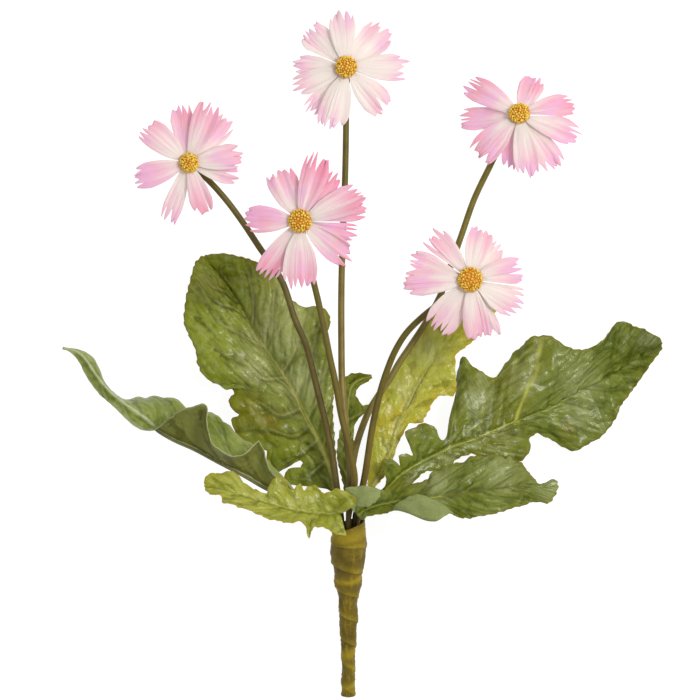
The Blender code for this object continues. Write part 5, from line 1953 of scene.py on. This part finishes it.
LEAVES = (
    Leaf(
        name="leaf_upper_left", slot=Slot.GREEN, front=OLIVE_GREEN, back=DULL_GREEN, seed=1.0,
        hole=222, arch=0.10, ridge_width=9.0, crease=(0.76, 0.99), relief=2.6, rows=220, columns=95,
        painted_base_shadow=0.35, crease_gap=1.8, flat_rib=0.85, rib_print=1.7,
        bright=((-42.0, 10.0, 17.0), (-31.0, -14.0, 14.0), (-54.0, -4.0, 10.0), (-37.0, 25.0, 15.0)),
        stains=((-59.0, -26.0, 9.0), (-48.0, -33.0, 8.0), (-64.0, -38.0, 5.0)),
        rib=((-13, -68, 24), (-16.5, -57, 20), (-22.5, -42, 15), (-28.5, -31, 11.5), (-38, -12.5, 6.5),
             (-50.5, 5.8, 2.4), (-61, 23.5, 0.75), (-71.8, 39, 1.9), (-80, 50, 8)),
        left=((0, -14.2, -68.3, 24.4), (0.03, -20.5, -66, 24), (0.05, -26.5, -65, 24),
              (0.062, -33, -65, 23.5), (0.075, -39.5, -62, 23), (0.085, -38, -57.8, 22.5),
              (0.097, -32.5, -57, 22), (0.108, -30.2, -54, 21.5), (0.12, -32.5, -51.5, 21),
              (0.135, -38, -50, 20.5), (0.147, -40, -53.5, 20.5), (0.158, -40.6, -57, 20.5),
              (0.17, -43.6, -58.6, 20), (0.185, -46.8, -55, 19.5), (0.202, -48.2, -50, 19.5),
              (0.218, -48, -47.5, 19), (0.235, -52.5, -45.5, 18.5), (0.258, -59, -43, 18),
              (0.278, -64, -39.5, 17.5), (0.29, -65, -35.5, 16.5), (0.299, -66.2, -31.2, 16),
              (0.308, -62.2, -29.8, 15), (0.32, -65.4, -26, 16), (0.333, -67.6, -22.5, 16.5),
              (0.348, -64.8, -19.2, 14), (0.358, -65, -17.2, 13), (0.38, -70.5, -15.5, 12),
              (0.42, -79.5, -9, 13), (0.45, -82.8, -4.5, 14), (0.49, -84, 3, 11),
              (0.56, -89.5, 15.5, 9), (0.62, -89.5, 26, 8), (0.70, -87, 37, 10),
              (0.82, -84.5, 45.5, 12), (1.0, -81.2, 50.2, 9)),
        right=((0, -11.8, -68, 24.4), (0.05, -12.5, -61, 22.5), (0.13, -13.5, -49.5, 20),
               (0.22, -14.5, -37, 17), (0.30, -15, -24.5, 15), (0.36, -14, -14.5, 13),
               (0.43, -15, -4.5, 12), (0.50, -17.5, 5.5, 12), (0.54, -18, 11.5, 13),
               (0.565, -16.5, 17, 15), (0.59, -17.5, 22, 13), (0.61, -20.5, 23.8, 11),
               (0.66, -31.5, 25, 8), (0.69, -36, 28.5, 7), (0.73, -39.5, 34.5, 6),
               (0.77, -43, 40.5, 5), (0.81, -49, 45, 5), (0.85, -56.5, 48.5, 7),
               (0.89, -63, 50.5, 9), (0.94, -70, 51.5, 10), (1.0, -79, 50.8, 9)),
        left_veins=(
            ((-18, -52), (-24, -57), (-30, -62)), ((-22.5, -42), (-32, -49), (-44, -55.5)),
            ((-27, -35), (-34.7, -40.2), (-45.4, -37), (-56.1, -35.9), (-62.6, -37)),
            ((-31, -26), (-41.1, -29.5), (-50.8, -23.6), (-56.1, -19.9), (-62, -13.4)),
            ((-39, -11), (-51.1, -10.8), (-57.6, -4), (-64, -1.6), (-72.6, 3.2), (-79.5, 13.4),
             (-83.3, 18.7)),
            ((-49.5, 4.2), (-57, 8.5), (-64, 12.3), (-71, 15.8), (-77.9, 25.1), (-83.3, 35.3)),
            ((-59.7, 20.3), (-65.1, 24.1), (-72.6, 26.8), (-78, 31)),
            ((-64, 27.8), (-68.3, 31.6), (-76.9, 35.9), (-80, 41)),
        ),
        right_veins=(
            ((-20, -46), (-17.5, -36), (-15.5, -26)), ((-28, -32), (-22, -18), (-17.5, -2)),
            ((-33.5, -19.9), (-28.1, -5.9), (-22.2, 15.5)),
            ((-40.4, -8.6), (-33.5, 4.8), (-30.8, 15.5), (-29, 22)),
            ((-48.5, 4.8), (-46.6, 10.1), (-45.5, 18.2), (-44.7, 28.9), (-43.9, 34.8)),
            ((-55.4, 16), (-55.2, 26.2), (-56.5, 36.9), (-57.6, 42.3)),
            ((-68.3, 32.6), (-70.4, 38), (-71.5, 43.4)),
        ),
    ),
    Leaf(
        name="leaf_far_left", slot=Slot.GREEN, front=CURL_GREEN, back=DULL_GREEN, seed=2.0,
        hole=185, arch=0.08, rim=1.5, tooth=0.2, relief=1.3, wave=0.5, swell=0.8,
        wire_sink=0.3,
        rib=((-31.5, -72.5, 36), (-45.8, -67.3, 38.5), (-61.2, -58.7, 40), (-72.7, -52.7, 40.5),
             (-84.2, -46.5, 40.5), (-95.5, -41.4, 39.5), (-104, -36, 38), (-107.5, -32.2, 37),
             (-114.5, -27.2, 36), (-121, -22.5, 34.5), (-126.5, -18, 33), (-131, -13, 31.5),
             (-135, -7.5, 30), (-138.8, -1.8, 28.5), (-143.5, 2.2, 26.8), (-150.3, 3.8, 25)),
        left=((0, -32, -72.5, 37.2), (0.05, -36, -66, 40.5), (0.09, -40.3, -60.5, 44),
              (0.12, -44, -60, 46.5), (0.15, -48.6, -52, 46), (0.19, -51.8, -42, 45.5),
              (0.23, -57, -47.5, 49), (0.27, -64.5, -49.8, 52), (0.31, -72.2, -46.7, 54.5),
              (0.35, -76.5, -41, 56), (0.38, -77.8, -34, 56.5), (0.405, -77.5, -27.5, 56),
              (0.43, -79.5, -24.2, 55), (0.47, -84.5, -25, 54),
              (0.52, -91, -27.5, 53), (0.545, -97, -31.5, 49.5), (0.565, -102.5, -36.2, 43),
              (0.59, -108, -37.3, 39), (0.62, -112.5, -36, 38), (0.66, -117.5, -32.2, 37),
              (0.71, -122.8, -27, 36), (0.76, -127.5, -22.8, 34.5), (0.81, -132, -18.8, 33),
              (0.86, -137, -12.3, 31), (0.89, -139.6, -7.9, 30), (0.92, -141.2, -4.4, 29),
              (0.95, -144, -0.4, 27.5), (0.975, -147.3, 2.4, 26), (1.0, -150.2, 3.3, 25)),
        right=((0, -31, -71.2, 35.4), (0.08, -39, -61, 30), (0.16, -47.5, -53, 28),
               (0.22, -54, -45, 27), (0.28, -60, -42, 26), (0.34, -67, -35.2, 24),
               (0.40, -74.5, -29, 22), (0.46, -81.5, -28, 22), (0.52, -88.5, -27, 23),
               (0.56, -93.5, -22, 22), (0.60, -100, -20.5, 21), (0.65, -110.5, -21, 21),
               (0.70, -120.5, -22, 23), (0.75, -126, -18, 25), (0.80, -129.5, -13, 26),
               (0.85, -131.5, -7, 25), (0.89, -134, -2.5, 23), (0.93, -137.5, 0.8, 22),
               (0.97, -142.5, 3, 23), (1.0, -150.2, 4.4, 24.5)),
        left_veins=(
            ((-40, -70), (-44, -60), (-46, -53)), ((-50, -65), (-57, -55), (-60, -48.5)),
            ((-60, -59.5), (-68, -50), (-77.5, -36)), ((-72, -53), (-78, -42), (-81, -27)),
            ((-84, -46.5), (-91, -38), (-98, -29.5)), ((-97, -41), (-105, -35), (-112, -29)),
            ((-110, -36.5), (-116, -32), (-121, -23)), ((-122, -30.5), (-127, -24), (-131, -14)),
            ((-131, -20), (-136, -14), (-140, -7)),
        ),
        right_veins=(
            ((-45, -67.5), (-52, -58), (-57, -45)), ((-58, -60.5), (-66, -50), (-72, -33)),
            ((-70, -54), (-78, -43), (-84, -29)), ((-84, -46.5), (-91, -36), (-98, -22)),
            ((-97, -41), (-106, -33), (-116, -22)), ((-112, -36), (-120, -30), (-127, -18)),
            ((-124, -28), (-129, -20), (-132, -6)),
        ),
    ),
    Leaf(
        name="leaf_low_left", slot=Slot.LIME, front=LIME, back=DULL_LIME, seed=3.0,
        hole=140, arch=0.06, rib_print=0.7, shade_depth=0.5,
        rib=((-12, -78, 41), (-17.5, -78, 45), (-25, -78, 49), (-33.5, -77, 53), (-43.5, -74.5, 56),
             (-53, -71.8, 58), (-61.5, -69, 59.5), (-69.5, -66.5, 60), (-78.5, -64, 59)),
        left=((0, -10.5, -82, 43), (0.04, -8.5, -89, 44), (0.08, -12.5, -89, 46),
              (0.13, -16.5, -87, 49), (0.20, -22.5, -85.2, 54), (0.225, -25, -85.8, 56),
              (0.245, -27, -91, 58), (0.265, -28.5, -85.5, 58), (0.35, -36.5, -82.8, 61),
              (0.45, -45, -81, 64), (0.55, -53, -78.2, 66), (0.65, -59.8, -75.5, 67),
              (0.73, -65.8, -73.5, 67.5), (0.78, -69.8, -73, 68), (0.82, -70.5, -69.8, 66.5),
              (0.89, -75, -69, 65), (0.95, -78, -67, 62), (1.0, -79, -64.8, 59.5)),
        right=((0, -5.5, -75.5, 46), (0.03, -3, -72, 47.5), (0.06, -6.2, -68.8, 48),
               (0.09, -10, -66.8, 48), (0.11, -13, -66, 48), (0.15, -16.5, -67.8, 47.5),
               (0.20, -20.5, -68, 47), (0.25, -24.2, -64, 46.5), (0.28, -27.5, -65, 47),
               (0.31, -29, -66.8, 48.5), (0.35, -31.5, -63.8, 49), (0.40, -34.5, -66.5, 51),
               (0.44, -37, -65.5, 53), (0.47, -38.5, -61.8, 54.5), (0.505, -42, -60.4, 55.5),
               (0.54, -45.8, -62.5, 56), (0.57, -47, -67.5, 56), (0.64, -53, -66.5, 56.5),
               (0.70, -58.5, -63.5, 56), (0.78, -63, -58.2, 55), (0.85, -69, -57.8, 54.5),
               (0.91, -74.5, -58.5, 55), (0.96, -78.2, -60, 57), (1.0, -79, -63.5, 58.8)),
        left_veins=(
            ((-17, -78), (-14, -84), (-11, -88)), ((-22, -78), (-25, -84), (-27, -89)),
            ((-32, -77.3), (-36, -80), (-41, -81.5)), ((-42, -75), (-47, -78), (-53, -78)),
            ((-53, -72), (-58, -74), (-64, -74)), ((-62, -69), (-66, -71), (-70, -72)),
        ),
        right_veins=(
            ((-15, -78), (-11, -73), (-7, -69.5)), ((-20, -78), (-22, -71), (-24, -65)),
            ((-30, -77.3), (-35, -70), (-40, -61.5)), ((-41, -75), (-47, -71), (-53, -67)),
            ((-50, -72.5), (-56, -67), (-62, -59)), ((-61, -69), (-66, -64), (-70, -58.5)),
            ((-70, -66.5), (-74, -62)),
        ),
    ),
    Leaf(
        name="leaf_low_right", slot=Slot.GREEN, front=BLUE_GREEN, back=PALE_BACK, seed=4.0,
        folds=(Fold(1, 0.17, 0.45, 1.1, 2.2), Fold(-1, -0.02, 0.17, 0.9, 1.6)),
        hole=40, arch=0.08, crease=(0.42, 0.86), rib_print=0.6, shade_depth=0.5,
        bright=((68.0, -58.0, 10.0), (95.0, -64.0, 9.0), (38.0, -64.0, 8.0)),
        rib=((-2.5, -79.5, 40), (3.5, -76, 42.5), (13.5, -73.5, 45.5), (23.5, -72, 48.5),
             (33.5, -71, 51), (46, -69.5, 53), (58.5, -67.5, 54), (71, -65.8, 54), (81, -65, 53),
             (88.5, -65.5, 52), (96.5, -64, 50)),
        left=((0, -5.5, -76, 41.5), (0.03, -9.5, -65.5, 44.6), (0.07, -3.5, -63.8, 44.8),
              (0.12, 3.5, -64.2, 44.8), (0.17, 10, -66.5, 44.5), (0.21, 14.5, -65, 44),
              (0.26, 20.5, -62.5, 43.5), (0.30, 25.5, -63.6, 43), (0.335, 29, -63.2, 43),
              (0.36, 32.5, -60.8, 42.5), (0.39, 36, -57.6, 42), (0.42, 40, -56.2, 41.5),
              (0.46, 45, -55.2, 41), (0.50, 50, -53, 41), (0.54, 55.5, -51.2, 41.5),
              (0.60, 61, -50.2, 42),
              (0.66, 67.5, -49.5, 43), (0.72, 74.8, -51, 44), (0.79, 81, -56, 46),
              (0.85, 85.4, -62, 48), (0.90, 88.5, -64, 49.5), (0.95, 94, -61.5, 49.5),
              (1.0, 97, -63, 50)),
        right=((0, -0.5, -82, 41), (0.05, 2.5, -80, 44), (0.12, 11, -78.5, 48),
               (0.19, 16.5, -77.5, 52), (0.25, 23.5, -80, 58), (0.30, 31, -83.5, 62),
               (0.35, 37, -84.2, 64), (0.40, 41.5, -81, 63), (0.43, 44, -79.4, 60),
               (0.465, 47.5, -80.3, 60), (0.53, 53, -80.5, 62), (0.62, 63.5, -78.4, 63),
               (0.70, 77.5, -74.8, 61), (0.78, 86, -72.5, 59), (0.83, 91.5, -73.5, 58),
               (0.90, 94.5, -71, 55), (0.96, 96.5, -67.5, 52), (1.0, 97.3, -64.8, 50.4)),
        left_veins=(
            ((4, -76), (2, -70), (-3, -65)), ((14, -73.5), (18, -68), (22, -63)),
            ((26, -71.8), (32, -66), (38, -58)), ((38, -70.5), (46, -63), (53, -53.5)),
            ((50, -69), (59, -60), (66, -51)), ((62, -67), (70, -60), (77, -53.5)),
            ((74, -65.5), (80, -61), (86, -60)), ((84, -65), (90, -63)),
        ),
        right_veins=(
            ((12, -73.8), (18, -76), (24, -79.5)), ((24, -72), (31, -77), (36, -83.5)),
            ((36, -71), (44, -76), (51, -80)), ((50, -69), (57, -74), (64, -77.8)),
            ((62, -67), (70, -71), (78, -74)), ((74, -65.7), (82, -69), (90, -72.8)),
        ),
    ),
    Leaf(
        name="leaf_far_right", slot=Slot.GREEN, front=BLUE_GREEN, back=DULL_GREEN, seed=5.0,
        hole=355, arch=0.09, rib_print=0.75, shade_depth=0.6,
        bright=((58.0, -22.0, 8.0), (82.0, -12.0, 8.0), (108.0, -13.0, 11.0), (110.0, -30.0, 8.0),
                (144.0, 9.0, 6.0)),
        stains=((104.0, -36.0, 5.0),),
        cord=(((76.4, -31.9), (78.9, -25.6), (82.1, -17.4), (85.9, -9.8), (88.4, 2.2), (89, 9.1)),),
        rib=((11, -67, 30), (20.5, -58, 28.5), (27, -54, 27), (43, -46, 23), (58.8, -40.2, 19),
             (74.5, -33.3, 14.5), (88.5, -27.5, 10), (102.3, -20.5, 5), (116, -13.5, 1.5),
             (127, -7.2, 0.75), (142, 2.2, 4.5), (150, 5.5, 9)),
        left=((0, 10.3, -66, 30.6), (0.03, 11.5, -61, 32), (0.05, 9, -53, 33),
              (0.065, 13.5, -51.5, 32), (0.08, 18.5, -55, 30), (0.097, 18, -49.5, 32),
              (0.113, 22.5, -49, 31), (0.125, 25, -50, 29), (0.14, 23.2, -44.2, 30),
              (0.155, 20.8, -38.2, 31), (0.17, 25.5, -36, 30), (0.188, 30.5, -33.3, 29),
              (0.205, 36, -36.5, 27), (0.222, 38.4, -41.6, 25), (0.24, 41.8, -40.5, 24),
              (0.255, 43, -32.5, 22), (0.27, 46, -20.5, 16), (0.285, 47.2, -8, 12),
              (0.30, 49, -1.5, 11), (0.34, 58, -7.5, 13), (0.37, 65.8, -11, 12),
              (0.40, 73, -0.5, 11), (0.43, 80.5, 6.2, 11), (0.455, 87, 9.7, 12),
              (0.472, 93.5, 10.2, 12), (0.49, 99.5, 6.2, 12), (0.54, 106.2, 3.2, 11),
              (0.60, 114, 4.2, 9), (0.65, 120, 7.5, 8), (0.70, 125, 14, 8), (0.74, 130, 17.2, 9),
              (0.80, 136, 15.2, 11), (0.90, 144, 12.2, 13), (0.97, 149, 9, 12),
              (1.0, 150.3, 6.8, 10)),
        right=((0, 12.5, -68.5, 30.6), (0.08, 21, -64.5, 30), (0.115, 25.8, -62.6, 29),
               (0.14, 29, -59.4, 28), (0.17, 33.6, -57.4, 27), (0.19, 37.2, -58.8, 26),
               (0.215, 42, -57.4, 25), (0.24, 45.6, -52.8, 24), (0.28, 51, -50, 23),
               (0.33, 57, -49.6, 21), (0.355, 62, -52, 19.5), (0.38, 68.5, -53, 18),
               (0.42, 76, -54, 15), (0.45, 81, -51, 13), (0.475, 83.2, -46, 11),
               (0.49, 83.5, -41.5, 10), (0.51, 87, -39.2, 9), (0.54, 92.5, -41.2, 8),
               (0.57, 98.5, -45.2, 6), (0.60, 104.3, -47.7, 5), (0.645, 111, -45.2, 4),
               (0.69, 118, -41.2, 3), (0.74, 125, -34.5, 3), (0.80, 130, -24.5, 4),
               (0.86, 136, -16.5, 5), (0.91, 141.8, -8.5, 7), (0.95, 145.8, -2.7, 9),
               (1.0, 150.4, 3.8, 9.5)),
        left_veins=(
            ((17, -61), (14, -56), (10, -53)), ((24, -56), (24, -52)), ((29, -53), (29, -44), (29, -35)),
            ((43, -46), (46, -28), (48.5, -5)), ((56.5, -40), (55.5, -23.7), (51.1, -6.7)),
            ((62, -38), (63.8, -26.2), (66.3, -14.9)),
            ((70.1, -35.4), (72.6, -23.7), (73.9, -14.9), (77.7, -3.5)),
            ((93.5, -24.7), (98.5, -12), (100, -3)),
            ((108.6, -16.9), (113, -9.8), (116.8, -3.5), (116, 4)),
            ((120.6, -11.1), (125, -4), (127, 4), (128, 12)), ((133, -4.5), (137, 4), (139.5, 12)),
            ((141, 1.5), (146, 7), (148, 9)),
        ),
        right_veins=(
            ((20, -58.5), (26, -60.5), (31, -59.5)), ((38, -48.5), (46, -50), (54, -49.6)),
            ((62, -39.5), (70, -39.5), (76, -38.2), (82.1, -36.4)),
            ((76, -32.8), (86.5, -34.5), (95.4, -37.6), (101.7, -42.7)),
            ((87.1, -28.5), (98.5, -31.9), (108, -34.5), (109.2, -40.1)),
            ((98.5, -22.5), (108, -23.1), (114.3, -24.3), (122.5, -25), (128.8, -23.7)),
            ((112, -15.4), (123.8, -16.8), (132, -14.9), (135.8, -12.3)),
            ((126, -8), (134, -7.5), (140, -6)),
        ),
    ),
    Leaf(
        name="leaf_upper_right", slot=Slot.LIME, front=YELLOW_GREEN, back=DULL_LIME, seed=6.0,
        hole=318, arch=0.08, crease=(0.36, 0.62), relief=1.8, rib_print=0.8, shade_depth=0.5,
        bright=((33.0, 2.0, 8.0), (22.0, -16.0, 6.0)),
        rib=((4.5, -65.5, 25), (9.4, -58, 23.5), (14.5, -46.5, 22), (18, -35, 20.5), (22.5, -26, 19),
             (28.8, -13.4, 17), (35.2, -3, 16), (40.9, 2.8, 16), (49.5, 13, 17), (57.5, 20.5, 18),
             (67.5, 28, 20)),
        left=((0, 2.4, -65.5, 25.5), (0.06, 2.2, -59.5, 25), (0.14, 3, -52.5, 24),
              (0.23, 4.6, -41, 23), (0.32, 6.4, -29.5, 22), (0.39, 9, -22, 21),
              (0.45, 12, -14.5, 20), (0.50, 16.2, -6, 19), (0.55, 20.5, 0.5, 19), (0.60, 26.5, 8, 20),
              (0.65, 31, 14, 20), (0.70, 33.5, 20, 20), (0.77, 39, 26, 20), (0.85, 46, 30, 21),
              (0.93, 56, 32, 22), (1.0, 66.8, 29, 20.5)),
        right=((0, 6, -65.8, 25.5), (0.08, 11.8, -58.6, 23.5), (0.14, 15, -51.6, 22.5),
               (0.20, 17.6, -43.6, 21.5), (0.25, 20.6, -38.2, 20.5), (0.29, 23.4, -33.4, 20),
               (0.32, 26, -33.6, 20), (0.35, 29.6, -33.3, 19.5), (0.38, 30.8, -31.2, 19.5),
               (0.42, 33.5, -26.5, 19), (0.46, 36.3, -21.4, 19), (0.49, 39.8, -19.7, 18),
               (0.525, 44.9, -20.2, 17.5), (0.555, 46.7, -17.4, 18), (0.59, 46.7, -12, 19),
               (0.64, 46.4, -4.2, 18), (0.68, 46.6, 0.5, 18), (0.73, 50, 3.3, 18.5),
               (0.79, 55.2, 7.4, 19), (0.85, 60.5, 13, 20), (0.91, 65.5, 20, 21),
               (0.96, 68, 25.5, 21), (1.0, 68.2, 28, 20.5)),
        left_veins=(
            ((14, -47), (10, -40), (9, -32)), ((18, -35), (13, -26), (12, -19)),
            ((23, -25), (18, -14), (17, -7)), ((29, -13), (24, -2), (24, 4)),
            ((36, -2), (31, 6), (31, 12)), ((43, 5), (39, 14), (38, 23)), ((51, 14), (48, 22), (47, 29)),
            ((59, 22), (57, 30)),
        ),
        right_veins=(
            ((13, -50), (17, -48), (19, -43)), ((18, -36), (24, -35), (29, -32.5)),
            ((23, -25), (33, -23), (42, -20)), ((28, -15), (37, -14), (46, -14)),
            ((35, -3), (41, -3), (46, -2)), ((43, 5), (50, 6), (56, 9)), ((53, 17), (59, 17), (63, 18)),
            ((60, 23), (65, 25)),
        ),
    ),
    Leaf(
        name="leaf_back", slot=Slot.GREEN, front=OLIVE_GREEN, back=DULL_GREEN, seed=7.0,
        hole=270, arch=0.06,
        rib=((-7, -74.5, 24.6), (-7, -67, 21.6), (-7.2, -54.5, 17), (-7.8, -42, 13),
             (-7.4, -29.5, 11), (-7, -21, 10.5), (-5, -14.5, 11), (-0.5, -11.5, 12),
             (4.5, -10.3, 13)),
        left=((0, -8.2, -74.5, 25), (0.16, -10.5, -62, 21), (0.30, -13, -51, 17.5),
              (0.43, -12.5, -42, 15), (0.57, -10.6, -32, 13), (0.71, -10.4, -22, 12),
              (0.80, -10.2, -14.5, 12), (0.87, -7.5, -9.5, 12), (0.94, -1.5, -8.5, 13),
              (1.0, 4.3, -9.6, 13.2)),
        right=((0, -5.8, -74.5, 25), (0.15, -4.6, -62, 20.5), (0.31, -4.2, -52, 16.5),
               (0.40, -4.4, -44.5, 14.5), (0.49, -4.6, -38, 12.5), (0.54, -3.6, -33.5, 12.5),
               (0.595, 1.2, -28.3, 13.5), (0.655, 5.5, -23.5, 15), (0.70, 0.5, -25, 13),
               (0.75, -3.4, -20, 11.5), (0.81, -2.3, -15.8, 11.5), (0.88, 1, -13.5, 12),
               (0.95, 3.5, -12, 13), (1.0, 4.7, -10.9, 13)),
        left_veins=(
            ((-6.5, -66), (-9, -58), (-12, -53)), ((-5.2, -50), (-10, -44), (-14, -40)),
            ((-5, -38), (-9, -32), (-12, -27)),
        ),
        right_veins=(
            ((-7, -60), (-5.8, -57), (-4.8, -54)), ((-7.5, -44), (-5.5, -40)),
            ((-7, -32), (0, -28), (4.5, -24.5)),
        ),
    ),
)


def main() -> None:
    """Builds the bush piece by piece and sets the studio."""
    logging.basicConfig(level=logging.INFO, format="%(name)s %(message)s")
    Studio().build(FloorFinish())
    pick = Pick()
    pick.build(TapeFinish())
    dice = random.Random(FRINGE_SEED)
    spare = random.Random(DETAIL_SEED)
    pollen = PollenFinish().material()
    for bloom in BLOOMS:
        cover = StemFinish(f"cover_{bloom.key}", low=bloom.cover, high=bloom.crown)
        Stem(bloom, pick).build(cover)
        petals = PetalFinish(f"fabric_{bloom.key}", bloom.blush).material()
        for layer in Layer:
            Corolla(bloom, layer, dice, spare).build(petals)
        Eye(bloom, spare).build(pollen)
    for leaf in LEAVES:
        leaf.build(StemFinish(f"cover_{leaf.name}", low=STALK_LOW, high=STALK_HIGH), pick)


if __name__ == "__main__":
    main()
